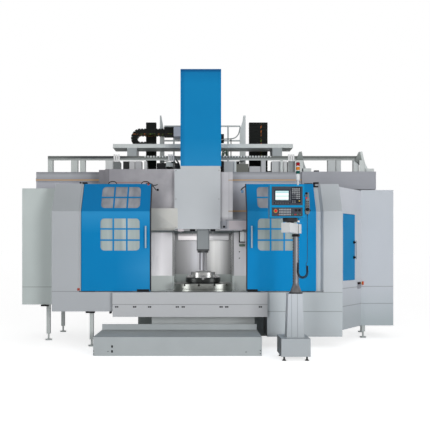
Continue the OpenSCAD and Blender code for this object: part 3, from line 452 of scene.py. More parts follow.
white_enamel = enamel("white_enamel", chip(238, 238, 238), chip(226, 227, 227), 0.35)
black_plastic, sockets, place = finish("black_plastic", roughness=0.45, specular_ior_level=0.2)
place.feed(sockets["Base Color"], mixed(cloud(place, 12), chip(16, 16, 18), chip(38, 38, 41)))
place.feed(sockets["Normal"], relief(cloud(place, 500, 1), 0.0002))
lit, sockets, place = finish("work_light", roughness=0.5, specular_ior_level=0.1, emission_strength=0.16)
across = place.node("ShaderNodeSeparateXYZ", None, {0: place}, 0)
glass = mixed(ramp(across, 0, 0.2), mixed(cloud(place, 5), chip(214, 210, 211), chip(226, 222, 223)), chip(178, 178, 180))
place.feed(sockets["Base Color"], glass)
place.feed(sockets["Emission Color"], glass)
fit("recess_light", pads([0.013, 0.950, 1.772], 0.950, 0.122, 0.030, 0.008), lit, slot="fitting")
fit("chamber_lamp", pads([0.690, 0.270, 1.762], 0.080, 0.178, 0.040, 0.010), white_enamel, slot="fitting")
fit("chamber_lamp_frame", pads([[0.642, 0.270, 1.762], [0.690, 0.270, 1.664]], [0.014, 0.110],
                               [0.200, 0.014], 0.046, 0.004), black_plastic, slot="track_dark")
moss, sockets, place = finish("moss_plastic", roughness=0.5)
place.feed(sockets["Base Color"], mixed(cloud(place, 30, 2), chip(60, 78, 66), chip(104, 120, 106)))
fit("setter_arm", pads([0.690, 0.270, 1.607], 0.100, 0.040, 0.060, 0.010), moss, slot="track_dark")
fit("lining_plugs", turned([[0.011, 0], [0.011, 0.003], [0.008, 0.005], [0.002, 0.005]],
                           [[0.645, 0.270, 1.494], [0.645, 0.270, 1.380]], (0, -1, 0), 16),
    black_plastic, slot="track_dark")


# Table, chuck and work: a turned steel table with radial T-slots, a blackened four-jaw chuck body
# bolted on it, ground jaws, and a bright bored ring that the jaws grip.
def turned_steel(name, light, dark, rough, pitch=0.0016):
    """Steel faced on a lathe: rings about the table's axis, radius = length of (x, y), that ripple
    the surface once per pitch, over two greys in soft clouds."""
    coat, sockets, place = finish(name, metallic=1.0, roughness=rough)
    flat = place.node("ShaderNodeVectorMath", {"operation": "MULTIPLY"}, {0: place, 1: (1, 1, 0)})
    radius = place.node("ShaderNodeVectorMath", {"operation": "LENGTH"}, {0: flat}, 1)
    rings = place.node("ShaderNodeMath", {"operation": "SINE"}, {0: radius * (2 * math.pi / pitch)})
    stain = cloud(place, 9, 5)
    place.feed(sockets["Base Color"], mixed(stain, dark, light))
    place.feed(sockets["Roughness"], rough - 0.06 + 0.14 * stain)
    place.feed(sockets["Normal"], relief(0.5 + 0.5 * rings, 0.00005))
    return coat


dress(turned_steel("table_steel", chip(158, 160, 156), chip(122, 124, 120), 0.3), "table")
dress(turned_steel("chuck_steel", chip(74, 76, 75), chip(42, 43, 43), 0.34), "chuck_body")
dress(turned_steel("work_steel", chip(194, 194, 192), chip(158, 158, 156), 0.3), "workpiece")
jaw_steel = steel_sheet("jaw_steel", chip(190, 190, 190), chip(120, 121, 122), 0.26, 0.95)
dress(jaw_steel, "jaw_right", "jaw_back", "jaw_left", "jaw_front")
for body, turn in (("jaw_right", 0), ("jaw_back", 90), ("jaw_left", 180), ("jaw_front", 270)):
    c, s = math.cos(math.radians(turn)), math.sin(math.radians(turn))
    spots = [[r * c, r * s, 1.0615] for r in (0.2303, 0.2683)]
    fit(body + "_screws", turned([[0.0085, 0], [0.0085, 0.010], [0.0075, 0.0115], [0.0045, 0.0115],
                                  [0.0045, 0.006], [0.001, 0.006]], spots, steps=12), zinc, body, "dark_steel")


# Saddle, ram and tower: a silver housing rides on the cross rail and carries the square ground ram
# with its boring bar. A tall blue sheet-metal tower covers the ram's drive.
dress(enamel("housing_silver", chip(198, 202, 206), chip(182, 187, 191), 0.38), "saddle")
shield, sockets, place = finish("shield_steel", roughness=0.45, metallic=0.3)
across, high = (place.node("ShaderNodeSeparateXYZ", None, {0: place}, k) for k in (0, 2))
blotch = cloud(place, 2.6, 5)
tone = mixed(ramp(high, 2.226, 2.229), mixed(blotch, chip(192, 192, 187), chip(212, 212, 208)),
             mixed(ramp(blotch, 0.3, 0.7) * ramp(across, -1.9, -0.4), chip(146, 145, 151), chip(192, 190, 194)))
tone = mixed(0.5 * (1 - ramp(across, -1.606, -1.598)) + 0.6 * bump(across, -1.60, 0.008), tone, chip(96, 95, 99))
place.feed(sockets["Base Color"], mixed(0.6 * bump(high, 2.230, 0.008), tone, chip(84, 84, 88)))
place.feed(sockets["Normal"], relief(blotch, 0.002))
dress(shield, "saddle_shield_left")
fit("shield_flap", pads([-0.663, -0.2803, 2.055], 0.476, 0.342, 0.003, 0.003), shield, "saddle", "stainless")
shield, sockets, place = finish("right_shield_steel", roughness=0.42, metallic=0.3)
across, high = (place.node("ShaderNodeSeparateXYZ", None, {0: place}, k) for k in (0, 2))
tone = mixed(cloud(place, 2.2, 5), chip(184, 183, 188), chip(206, 205, 210))
tone = mixed(ramp(high, 2.50, 2.10) * (1 - ramp(high, 2.10, 2.05)), tone, chip(228, 228, 231))
marks = 0.8 * bump(across, 0.306, 0.010) + 0.3 * bump(across, 0.440, 0.008)
tone = mixed(marks * ramp(high, 2.045, 2.05), tone, chip(96, 96, 100))
oil = ramp(across, 0.430, 0.432) * (bump(high, 2.712, 0.016) + bump(high, 2.184, 0.016))
place.feed(sockets["Base Color"], mixed(0.8 * oil, tone, chip(182, 146, 96)))
place.feed(sockets["Normal"], relief(cloud(place, 30, 3, (1, 1, 0.2)), 0.0004))
dress(shield, "saddle_shield_right")
cover_pink = steel_sheet("cover_pink", chip(216, 208, 211), chip(198, 190, 194), 0.45, 0.2)
fit("shield_box_cover", pads([0.590, -0.141, 1.948], 0.300, 0.150, 0.004, 0.004, soft=0.2), cover_pink, "saddle",
    "stainless")
fit("valve_bracket", pads([0.351, -0.141, 1.954], 0.105, 0.140, 0.030, 0.012), cover_steel, "saddle", "stainless")
fit("valve_knob", turned([[0.020, 0], [0.020, 0.010], [0.014, 0.014], [0.001, 0.014]], [0.356, -0.171, 1.918],
                         (0, -1, 0), 18), black_plastic, "saddle", "track_dark")
fit("shield_box_edge", pads([0.560, -0.141, 2.034], 0.352, 0.016, 0.010, 0.004), cover_steel, "saddle", "stainless")
tower, sockets, place = finish("tower_blue", roughness=0.42, specular_ior_level=0.2)
across, high = (place.node("ShaderNodeSeparateXYZ", None, {0: place}, k) for k in (0, 2))
tone = mixed(cloud(place, 1.1, 3), chip(12, 122, 180), chip(22, 132, 188))
# Painted light and shade: lighter towards the bottom, a darker strip down the left edge, darker towards the top, and a
# painted top-rim shadow above 4.5 m.
tone = mixed(0.6 * ramp(high, 3.40, 2.95), tone, chip(48, 140, 194))
tone = mixed(0.3 * (1 - ramp(across, -0.345, -0.300)) + 0.25 * ramp(high, 4.32, 4.50), tone, chip(6, 84, 142))
place.feed(sockets["Base Color"], mixed(0.6 * ramp(high, 4.500, 4.530), tone, chip(4, 62, 112)))
place.feed(sockets["Roughness"], 0.37 + 0.1 * cloud(place, 7))
place.feed(sockets["Normal"], relief(cloud(place, 240, 1), 0.00025))
dress(tower, "ram_tower")
dress(steel_sheet("ram_steel", chip(152, 157, 160), chip(130, 135, 137), 0.3, 0.6, (1, 1, 0.05)), "ram")
dress(steel_sheet("holder_steel", chip(92, 94, 95), chip(60, 62, 63), 0.3, 0.5, (1, 1, 0.1)), "tool_holder")
bar, sockets, place = finish("bar_steel", metallic=0.2, roughness=0.3)
across = place.node("ShaderNodeSeparateXYZ", None, {0: place}, 0)
# Painted reflections: bright and dark vertical bands across the round bar.
painted_bar_glints = across.node("ShaderNodeValToRGB", {"stops": [
    (0.0, chip(206, 205, 212)), (0.10, chip(150, 149, 155)), (0.20, chip(146, 145, 151)),
    (0.28, chip(200, 200, 206)), (0.40, chip(198, 198, 204)), (0.48, chip(108, 108, 111)),
    (0.66, chip(108, 108, 111)), (0.76, chip(160, 160, 162)), (1.0, chip(156, 156, 158))]},
    {0: ramp(across, -0.07, 0.07)})
place.feed(sockets["Base Color"], mixed(0.3 * cloud(place, 40, 3, (1, 1, 0.05)), painted_bar_glints, chip(120, 120, 122)))
dress(bar, "boring_bar")

fit("housing_screws", turned([[0.011, 0], [0.011, 0.003], [0.007, 0.005], [0.001, 0.005]],
                             [[x, -0.280, z] for x in (-0.455, 0.265) for z in (1.905, 2.38, 2.86)],
                             (0, -1, 0), 14), zinc, "saddle", "fitting")


def tube(line, radius, steps=10, side=(0, 1, 0)):
    """A round bar along a line: each ring lies across the line's heading, turned from a fixed side."""
    line = np.array(line, float)
    heading = np.gradient(line, axis=0)
    heading /= np.linalg.norm(heading, axis=1, keepdims=True)
    right = np.cross(heading, side)
    right /= np.linalg.norm(right, axis=1, keepdims=True)
    up = np.cross(right, heading)
    a = np.linspace(0, 2 * math.pi, steps, endpoint=False)[None, :, None]
    return line[:, None] + radius * (right[:, None] * np.cos(a) + up[:, None] * np.sin(a))


nozzle_spots = np.array([[-0.178, -0.20, 1.877], [0.166, -0.20, 1.877], [-0.375, -0.20, 1.877]])
fit("coolant_blocks", pads(nozzle_spots[:2], [0.090, 0.085], [0.060, 0.060], 0.038, 0.008, (1, 0, 0), (0, -1, 0)),
    black_plastic, "saddle", "track_dark")
fit("sensor_block", pads(nozzle_spots[2], 0.100, 0.060, 0.038, 0.008, (1, 0, 0), (0, -1, 0)), cover_pink, "saddle",
    "stainless")
for number, spot in enumerate(nozzle_spots):
    bend = spot + np.array([[0, 0, -0.030], [0, 0, -0.045], [0, 0.004, -0.060], [0, 0.016, -0.072],
                            [0, 0.032, -0.080]])
    fit(f"coolant_nozzle_{number}", tube(bend, 0.007, 10, (1, 0, 0)), zinc, "saddle", "fitting")

# Chains, gutters and railings on top: nylon energy chains in open steel gutters, folded brackets,
# valve boxes and a light tubular rail, all in grey paint that has dulled with oil mist.
wires = [(0.0, chip(24, 60, 40)), (0.35, chip(176, 100, 52)), (0.5, chip(24, 26, 24)),
         (0.58, chip(104, 130, 52)), (0.68, chip(30, 32, 30)), (0.8, chip(150, 146, 64))]
for name, node, low, high_edge in (("drag_chain_nylon", "drag_chain", 3.594, 3.612),
                                   ("stack_chain_nylon", "vertical_chains", 1.066, 1.090)):
    nylon, sockets, place = finish(name, roughness=0.6, specular_ior_level=0.25)
    across, high = (place.node("ShaderNodeSeparateXYZ", None, {0: place}, k) for k in (0, 2))
    level = high if node == "drag_chain" else across
    inside = (ramp(level, low, low + 0.004) - ramp(level, high_edge - 0.004, high_edge)) * ramp(
        cloud(place, 34, 1), 0.44, 0.54)
    colours = place.node("ShaderNodeValToRGB", {"hold": True, "stops": wires}, {0: cloud(place, 17, 1)})
    tone = mixed(cloud(place, 25, 3), chip(8, 10, 8), chip(26, 29, 27))
    tone = mixed(inside, tone, colours)
    if node == "drag_chain":
        tone = mixed(ramp(across, -0.5175, -0.5165), tone, chip(208, 211, 220))
    place.feed(sockets["Base Color"], tone)
    place.feed(sockets["Roughness"], 0.5 + 0.2 * cloud(place, 14))
    dress(nylon, node)
gutter = enamel("gutter_grey", chip(214, 219, 218), chip(194, 200, 199), 0.45)
dress(gutter, "cable_trough", "chain_fins", "service_rail")
brackets, sockets, place = finish("bracket_grey", roughness=0.45)
across, high = (place.node("ShaderNodeSeparateXYZ", None, {0: place}, k) for k in (0, 2))
# Painted shade: the brackets left of X 2.3 are a darker grey, and the shaded faces, from X 2.6 up to the slanted edge
# and from X 1.4 to 1.78 above 3.1 m, are darker still, darkest low down.
painted_shade = (1 - ramp(across + 0.22 * high, 3.500, 3.515)) * ramp(across, 2.6, 2.61)
painted_shade = painted_shade + (1 - ramp(across, 1.775, 1.780)) * ramp(across, 1.4, 1.41) * ramp(high, 3.08, 3.12)
place.feed(sockets["Base Color"], mixed(painted_shade, mixed(ramp(across, 2.3, 2.4), chip(156, 162, 164), chip(206, 212, 211)),
                                        mixed(ramp(high, 3.0, 3.3), chip(90, 95, 93), chip(150, 156, 154))))
dress(brackets, "beam_brackets")
plates = np.array([[1.704, 3.010, 0.148, 0.210], [1.393, 3.010, 0.044, 0.200], [1.836, 2.940, 0.165, 0.062], [2.815, 3.010, 0.090, 0.210],
                   [2.960, 2.935, 0.140, 0.062]])
fit("post_plates", pads(np.insert(plates[:, :2], 1, 0.290, axis=1), plates[:, 2], plates[:, 3], 0.010, 0.004),
    gutter, slot="beam_grey")
box_coat, sockets, place = finish("rail_top_paints", roughness=0.45)
across = place.node("ShaderNodeSeparateXYZ", None, {0: place}, 0)
edges = [(-2.8, (196, 202, 200)), (-1.76, (212, 215, 215)), (-1.603, (116, 121, 121)), (-1.43, (12, 14, 13)),
         (-1.334, (196, 197, 199)), (-1.21, (180, 181, 184)), (-1.05, (200, 202, 203)), (-0.9, (188, 190, 192)),
         (0.37, (190, 192, 193)), (0.58, (104, 106, 100)), (0.82, (182, 184, 187)), (1.2, (188, 191, 193)),
         (1.41, (205, 208, 208)), (1.51, (150, 155, 156)), (2.0, (190, 195, 196)), (2.65, (204, 210, 210))]
paints = across.node("ShaderNodeValToRGB", {"hold": True, "stops": [
    ((x + 2.8) / 5.6, chip(*colour)) for x, colour in edges]}, {0: ramp(across, -2.8, 2.8)})
place.feed(sockets["Base Color"], mixed(0.05 * cloud(place, 9, 3), paints, chip(120, 124, 124)))
place.feed(sockets["Roughness"], 0.38 + 0.16 * cloud(place, 8))
dress(box_coat, "rail_top_boxes")
beam_coat, sockets, place = finish("beam_grey", roughness=0.5)
high = place.node("ShaderNodeSeparateXYZ", None, {0: place}, 2)
# Above 3.16 m the beam's front is darker, darkest between X -2.6 and -1.2.
beam_top_mask = ramp(high + 0.02 * cloud(place, 6), 3.150, 3.175)
across = place.node("ShaderNodeSeparateXYZ", None, {0: place}, 0)
beam_top_tone = mixed(ramp(across, -2.6, -2.1) * (1 - ramp(across, -1.5, -1.2)), chip(104, 108, 106), chip(56, 58, 60))
place.feed(sockets["Base Color"], mixed(beam_top_mask, chip(164, 169, 168), beam_top_tone))
place.feed(sockets["Roughness"], 0.42 + 0.15 * cloud(place, 8))
place.feed(sockets["Normal"], relief(cloud(place, 240, 1), 0.0002))
dress(beam_coat, "service_beam")
clamp_x = np.array([-1.575, -1.535, -1.495, -0.605, -0.565, -0.525, 1.532, 1.572, 1.612])
fit("cable_clamps", pads(np.stack([clamp_x, 0 * clamp_x + 0.352, 0 * clamp_x + 3.165], 1), 0.032, 0.125, 0.020,
                         0.008), white_enamel, slot="beam_grey")
clip_x = np.concatenate([np.arange(-1.03, -0.63, 0.052), np.arange(0.37, 1.24, 0.052)])
fit("cable_clips", pads(np.stack([clip_x, 0 * clip_x + 0.352, 0 * clip_x + 3.188], 1), 0.028, 0.030, 0.014,
                        0.004), gutter, slot="beam_grey")
fit("valve_blocks", pads([[-0.742, 0.470, 2.991], [0.346, 0.470, 3.010], [1.173, 0.470, 2.920]],
                         [0.165, 0.056, 0.080], [0.172, 0.210, 0.030], 0.110, 0.008), black_plastic,
    slot="track_dark")
fit("junction_box", pads([0.346, 0.800, 3.587], 0.092, 0.166, 0.050, 0.008), black_plastic, slot="track_dark")
oil_hose, sockets, place = finish("oil_hose", roughness=0.5)
place.feed(sockets["Base Color"], mixed(cloud(place, 9, 3), chip(30, 34, 33), chip(86, 92, 92)))
place.feed(sockets["Normal"], relief(cloud(place, 300, 1), 0.0003))
pale_hose = finish("pale_hose", roughness=0.5)
pale_hose[2].feed(pale_hose[1]["Base Color"], mixed(cloud(pale_hose[2], 9, 3), chip(128, 134, 133), chip(170, 175, 174)))
fit("hose_block", pads([-0.460, 0.390, 3.010], 0.085, 0.130, 0.050, 0.020), black_plastic, slot="track_dark")
fit("relay_boxes", pads([[-0.598, 0.420, 3.000], [0.576, 0.378, 3.004]], [0.130, 0.040], [0.194, 0.200], 0.050,
                        0.006), gutter, slot="beam_grey")
fit("relay_plug", pads([0.616, 0.380, 3.080], 0.070, 0.048, 0.030, 0.006), black_plastic, slot="track_dark")
outline = np.array([[0.681, 2.904], [0.790, 2.904], [0.790, 4.008], [0.762, 4.008], [0.681, 3.720]])
fin = np.stack([outline[:, 0], 0 * outline[:, 0] + 0.727, outline[:, 1]], 1)
fit("fin_plate", [fin, fin + [0, 0.006, 0]], gutter, slot="beam_grey")
hoses = (("tower_hose_a", 0.016, oil_hose, [[-540, 372, 3200], [-520, 360, 3120], [-478, 358, 3040], [-450, 362, 2970],
                                            [-425, 366, 2912]]),
         ("tower_hose_b", 0.015, oil_hose, [[-500, 372, 3200], [-470, 362, 3130], [-430, 360, 3060],
                                            [-412, 364, 2980], [-400, 368, 2912]]),
         ("tower_hose_c", 0.013, oil_hose, [[-560, 358, 3090], [-500, 356, 3075], [-440, 358, 3010],
                                            [-405, 362, 2960], [-398, 368, 2912]]),
         ("valve_rod", 0.008, oil_hose, [[-765, 356, 3092], [-720, 356, 3100], [-660, 356, 3108], [-622, 360, 3112]]),
         ("right_rod", 0.008, oil_hose, [[563, 356, 3098], [610, 356, 3100], [660, 356, 3102], [700, 360, 3104]]),
         ("air_hose", 0.010, pale_hose[0], [[330, 742, 3560], [420, 738, 3574], [520, 738, 3578], [600, 738, 3600],
                                        [655, 738, 3660], [678, 738, 3730], [690, 742, 3800]]),
         ("air_line", 0.009, oil_hose, [[520, 744, 3590], [521, 742, 3500], [520, 744, 3300], [520, 742, 3206]]),
         ("green_wires_a", 0.016, moss, [[345, 380, 3205], [370, 378, 3290], [410, 380, 3310], [438, 384, 3205]]),
         ("green_wires_b", 0.014, moss, [[370, 400, 3205], [385, 402, 3260], [400, 400, 3270], [420, 398, 3205]]))
for name, radius, coat, points in hoses:
    fit(name, tube(flowing(points, 26)[0], radius, 10), coat, slot="cord")

# Guards: folded sheet panels and closed cabinets in pale grey powder coat, hung round the machine
# on legs with levelling feet. Their joints are the thin dark seams.
dress(enamel("skirt_grey", chip(188, 190, 193), chip(180, 182, 185), 0.44, 0.0002, 0.2, (0.676,)), "front_skirt")
# left_grey carries a painted shade on the sloped part above the bend.
left_grey = enamel("left_grey", chip(177, 181, 186), chip(169, 173, 177), 0.44, 0.0002, 0.2, (0.872,), 0.13)
dress(left_grey, "left_front_panel", "left_lower_panel")
dress(enamel("wing_grey", chip(203, 211, 210), chip(183, 192, 191), 0.44, 0.0002, 0.2, (0.902,)), "left_wing")
dress(enamel("leg_grey", chip(196, 202, 201), chip(178, 184, 183), 0.44), "support_legs")
# The right lower cabinet's left face, which stands in shadow, is painted a deep dark.
dress(enamel("right_low_grey", chip(191, 198, 202), chip(183, 190, 194), 0.44, 0.0002, 0.2, (0.557, 0.857), 0, 1.0065),
      "right_lower_cabinet")
# right_grey carries a painted shade on the sloped part above the bend.
right_grey = enamel("right_grey", chip(196, 201, 206), chip(188, 194, 199), 0.42, 0.0002, 0, (), 0.11)
dress(right_grey, "right_front_panel")
dress(enamel("cabinet_grey", chip(200, 205, 212), chip(190, 196, 203), 0.42, 0.0002, 0.2, (0.599, 0.894), low=0.6),
      "electrical_cabinet")
side_grey = enamel("side_grey", chip(222, 226, 234), chip(210, 214, 222), 0.42, 0.0002, 0.2, (0.599, 0.894), low=0.7)
dress(side_grey, "right_side_panel")
track_steel = steel_sheet("track_steel", chip(110, 112, 114), chip(70, 72, 74), 0.4, 0.85, (0.05, 1, 1))
dress(track_steel, "door_track")
red_clip, sockets, place = finish("red_clip", roughness=0.4)
place.feed(sockets["Base Color"], mixed(cloud(place, 60), chip(130, 48, 34), chip(176, 70, 48)))
plug_x = np.array([-1.350, -1.070, -0.837, -0.406, -0.314, 0.277, 0.366, 0.889])
plug_x = np.sort(np.concatenate([plug_x - 0.014, plug_x + 0.014]))
fit("skirt_plugs", pads(np.stack([plug_x, 0 * plug_x - 0.988, 0 * plug_x + 0.638], 1), 0.022, 0.022, 0.005,
                        0.005), black_plastic, slot="track_dark")
fit("leg_brackets", pads([[-2.672, -0.160, 0.588], [-1.782, -0.835, 0.545], [-1.455, -0.890, 0.545]],
                         [0.130, 0.140, 0.032], [0.026, 0.026, 0.030], 0.070, 0.004), black_plastic,
    slot="track_dark")
fit("edge_clip", pads([-1.966, -0.885, 0.905], 0.040, 0.040, 0.010, 0.006), red_clip, slot="switch_red")
fit("cover_lug", pads([2.005, 0.280, 2.917], 0.090, 0.030, 0.030, 0.006), black_plastic, slot="track_dark")

# Side door: a blue sheet door in the angled side panel, with a black pull bar on two stand-offs
# near its free edge. The red and yellow main switch sits on the cabinet beside it.
side_blue = enamel("side_door_blue", chip(0, 146, 206), chip(0, 134, 196), 0.5, 0.00025)
dress(side_blue, "side_door")
along_side = np.array([549, 708, 0]) / math.hypot(549, 708)
outward = np.array([708, -549, 0]) / math.hypot(549, 708)
hinge = np.array([2.192, -0.638, 0]) + 0.161 * along_side + 0.009 * outward
fit("side_hinge_sleeves", turned([[0.0088, 0], [0.0088, 0.0498]], [hinge + [0, 0, z] for z in (1.085, 1.897)],
                                 steps=16), side_blue, slot="blue_paint")
pull = np.array([2.192, -0.638, 0]) + 0.588 * along_side
feet = np.array([pull + [0, 0, z] for z in (1.400, 1.655)])
fit("side_door_feet", pads(feet, 0.040, 0.046, 0.020, 0.006, along_side), black_plastic, "side_door",
    "track_dark")
fit("side_door_standoffs", turned([[0.016, 0], [0.016, 0.010], [0.010, 0.014], [0.010, 0.046]],
                                  feet, outward, 16), black_plastic, "side_door", "track_dark")
grip = pull + 0.046 * outward + np.array([[0, 0, z] for z in (1.370, 1.376, 1.45, 1.60, 1.679, 1.685)])
fit("side_door_pull", tube(grip, 0.009, 14), cover_steel, "side_door", "track_dark")
fit("switch_plate", pads(np.array([2.1685, -0.6526, 0.896]) + 0.83 * along_side + 0.016 * outward, 0.130, 0.070, 0.006,
                         0.006, along_side), cover_steel, slot="fitting")
fit("switch_back", pads(np.array([2.1685, -0.6526, 0.955]) + 0.82 * along_side + 0.016 * outward, 0.110, 0.040, 0.012,
                        0.006, along_side), black_plastic, slot="track_dark")
switch_coat, sockets, place = finish("switch_plastic", roughness=0.3)
deep = place.node("ShaderNodeSeparateXYZ", None, {0: place}, 1)
place.feed(sockets["Base Color"], mixed(ramp(deep, 0.0574, 0.0578),
                                        mixed(cloud(place, 40), chip(196, 22, 26), chip(214, 32, 34)),
                                        chip(236, 200, 40)))
dress(switch_coat, "main_switch")

# Sliding doors: folded blue sheet with a bent top and painted highlights and shade, windows of
# polycarbonate behind a grid, coloured with a painted, shaded view through them, bright tube handles,
# black guide blocks on the track and a rubber seal down the inner edge.
door_blue, sockets, place = finish("door_blue", roughness=0.4, specular_ior_level=0.15)
across, high = (place.node("ShaderNodeSeparateXYZ", None, {0: place}, k) for k in (0, 2))
# Painted highlights: a lighter band round the bend and a lighter patch low on the left door. The sloped part above the
# bend has a painted shade, and the right door is painted lighter.
painted_gleam = 0.5 * bump(high, 2.09, 0.30) + 0.6 * bump(across, -0.88, 0.5) * bump(high, 1.24, 0.5)
tone = mixed(painted_gleam, mixed(cloud(place, 1.1, 3), chip(8, 118, 178), chip(14, 131, 189)), chip(62, 150, 203))
tone = mixed(ramp(high, 2.132, 2.138), tone, chip(14, 115, 172))
tone = mixed(0.4 * ramp(across, 0, 0.1), tone, chip(22, 142, 206))
place.feed(sockets["Base Color"], tone)
place.feed(sockets["Roughness"], 0.34 + 0.1 * cloud(place, 7))
place.feed(sockets["Normal"], relief(cloud(place, 240, 1), 0.00025))
dress(door_blue, "left_door", "right_door")
pane, sockets, place = finish("window_pane", roughness=0.12, alpha=0.82)
high = place.node("ShaderNodeSeparateXYZ", None, {0: place}, 2)
# The pane's colour paints in the shaded view through it: grey-green below the bend, a darker grey-purple above it, with
# vertical streaks.
streaks = ramp(cloud(place, 7, 2, (1, 1, 0.05)), 0.3, 0.7)
tone = mixed(streaks, chip(146, 162, 161), chip(188, 199, 198))
place.feed(sockets["Base Color"], mixed(ramp(high, 2.132, 2.138), tone,
                                        mixed(streaks, chip(128, 132, 140), chip(164, 167, 173))))
place.feed(sockets["Roughness"], 0.1 + 0.12 * cloud(place, 3))
dress(pane, "left_door_glass", "right_door_glass")
fitting_coat, sockets, place = finish("door_fitting", roughness=0.3, metallic=0.2)
high = place.node("ShaderNodeSeparateXYZ", None, {0: place}, 2)
place.feed(sockets["Base Color"], mixed(ramp(high, 1.0, 1.01), chip(30, 30, 32),
                                        mixed(cloud(place, 20), chip(150, 172, 188), chip(170, 190, 204))))
dress(fitting_coat, "left_door_fittings", "right_door_fittings")
bend_z, top_z, lean = 2.135, 2.594, math.tan(math.radians(30))
seal_line = np.array([[0, -0.890, 0.882], [0, -0.890, 1.5], [0, -0.890, 2.10], [0, -0.8895, bend_z],
                      [0, -0.890 + 0.03 * lean, bend_z + 0.03], [0, -0.890 + (top_z - bend_z) * lean, top_z]])
for side, edge, flange in (("left", -0.824, 0.018), ("right", 0.680, 0.014)):
    inward = 1 if side == "left" else -1
    lip = np.array([[-flange, 0.001], [-flange, -0.004], [0.001, -0.005], [0.0025, 0.004], [0.0025, 0.030],
                    [0.002, 0.038], [0, 0.038], [0, 0.001]])
    points = seal_line[:, None] + np.stack([inward * lip[:, 0], lip[:, 1], 0 * lip[:, 0]], 1)[None]
    fit(side + "_door_seal", points + [edge, 0, 0], rubber, side + "_door", "cord")
for name, x0, x1, near, coat in (("left_edge_trim", -1.956, -1.931, 0.003, left_grey),
                                 ("right_edge_trim", 1.858, 1.892, 0.055, right_grey)):
    bar_y = np.array([[x0, near], [x1, 0.003], [x1, 0.056], [x0, 0.056]])
    fit(name, seal_line[:, None] + np.insert(bar_y, 2, 0, axis=1)[None], coat, slot="panel_grey")
fit("left_door_shoe", pads([-0.948, -0.890, 0.892], 0.190, 0.030, 0.012, 0.005), black_plastic, "left_door",
    "track_dark")
fit("right_door_shoe", pads([0.772, -0.890, 0.892], 0.170, 0.030, 0.012, 0.005), black_plastic, "right_door",
    "track_dark")
arc = np.linspace(0, math.pi, 17)
for name, middle in (("left_door_loop_a", -1.468), ("left_door_loop_b", -0.935)):
    hoop = np.stack([middle + 0.066 * np.cos(arc), 0 * arc - 0.605, 2.594 + 0.044 * np.sin(arc)], 1)
    fit(name, tube(hoop, 0.007), black_plastic, "left_door", "track_dark")
door_lines = (("left_door_wire", 0.0025, red_clip, "left_door", [[-1402, -606, 2618], [-1230, -606, 2622],
                                                               [-1050, -606, 2622], [-870, -606, 2626]]),
              ("left_door_hose_a", 0.009, oil_hose, "left_door", [[-930, -600, 2608], [-860, -580, 2608],
                                                                 [-805, -545, 2580], [-742, -545, 2592]]),
              ("left_door_hose_b", 0.008, oil_hose, "left_door", [[-850, -580, 2600], [-800, -548, 2546],
                                                                 [-765, -550, 2500]]),
              ("right_door_hose", 0.011, oil_hose, "right_door", [[800, -588, 2576], [775, -520, 2572],
                                                                 [730, -500, 2568], [668, -500, 2556],
                                                                 [640, -500, 2532], [620, -500, 2500]]),
              ("right_door_rod", 0.008, oil_hose, "right_door", [[1640, -606, 2602], [1700, -606, 2604],
                                                                [1770, -606, 2604]]))
for name, radius, coat, body, points in door_lines:
    fit(name, tube(flowing(points, 24)[0], radius), coat, body, "cord")
fit("right_hose_end", pads([0.642, -0.500, 2.482], 0.044, 0.046, 0.030, 0.012),
    finish("hose_sleeve", roughness=0.4, base_color=(*chip(120, 160, 196), 1))[0], "right_door", "cord")
fit("left_hose_end", pads([-0.742, -0.540, 2.506], 0.034, 0.034, 0.030, 0.008), black_plastic, "left_door",
    "track_dark")
fit("left_door_clip", pads([-0.886, -0.626, 2.583], 0.034, 0.030, 0.012, 0.006), red_clip, "left_door",
    "switch_red")
fit("roller_brackets", pads([[-1.992, -0.570, 2.618], [-1.918, -0.585, 2.612], [-1.925, -0.585, 2.570], [1.830, -0.570, 2.612],
                             [1.822, -0.585, 2.552], [1.800, -0.575, 2.585]],
                            [0.026, 0.084, 0.030, 0.090, 0.086, 0.024],
                              [0.022, 0.024, 0.050, 0.026, 0.022, 0.070],
                            0.040, 0.006), black_plastic, slot="track_dark")

# Foot platform: a welded box with a grey front and a darker, gritty anti-slip top, and an upstand
# at the back. It stands loose on the floor in front of the machine.
platform_coat, sockets, place = finish("platform_coat", roughness=0.6)
high = place.node("ShaderNodeSeparateXYZ", None, {0: place}, 2)
deck = ramp(high, 0.2718, 0.2722) - ramp(high, 0.2745, 0.275)
grit = cloud(place, 130, 2)
worn = cloud(place, 3, 4)
place.feed(sockets["Base Color"], mixed(deck, mixed(worn, chip(160, 166, 168), chip(171, 177, 179)),
                                        mixed(0.6 * worn + 0.4 * grit, chip(148, 155, 156), chip(184, 190, 191))))
place.feed(sockets["Roughness"], 0.45 + 0.35 * deck)
place.feed(sockets["Normal"], relief(grit * deck, 0.002))
dress(platform_coat, "foot_platform")
mark_spots = [[-1.317, -1.710, 0.137], [-1.317, -1.710, 0.066], [-1.583, -1.710, 0.072], [-1.583, -1.710, 0.030],
              [-1.376, -1.710, 0.066], [0.610, -1.710, 0.058], [0.816, -1.710, 0.078], [0.816, -1.710, 0.034]]
fit("platform_plugs", pads(mark_spots, [0.024, 0.024, 0.014, 0.014, 0.012, 0.014, 0.014, 0.014],
                           [0.034, 0.034, 0.014, 0.014, 0.012, 0.014, 0.014, 0.014], 0.004, 0.005),
    black_plastic, slot="track_dark")

# Pendant: a heavy pedestal with a tapered column, a ribbed post, a swinging arm and the blue control
# box with its screen, key fields and emergency stop. The stack light stands on top.
pedestal_coat, sockets, place = finish("pedestal_coat", roughness=0.42)
across, deep, high = (place.node("ShaderNodeSeparateXYZ", None, {0: place}, k) for k in (0, 1, 2))
tone = mixed(cloud(place, 2, 3), chip(157, 163, 167), chip(169, 175, 179))
tone = mixed(0.4 * ramp(high, 0.3, 0.85), tone, chip(212, 217, 226))
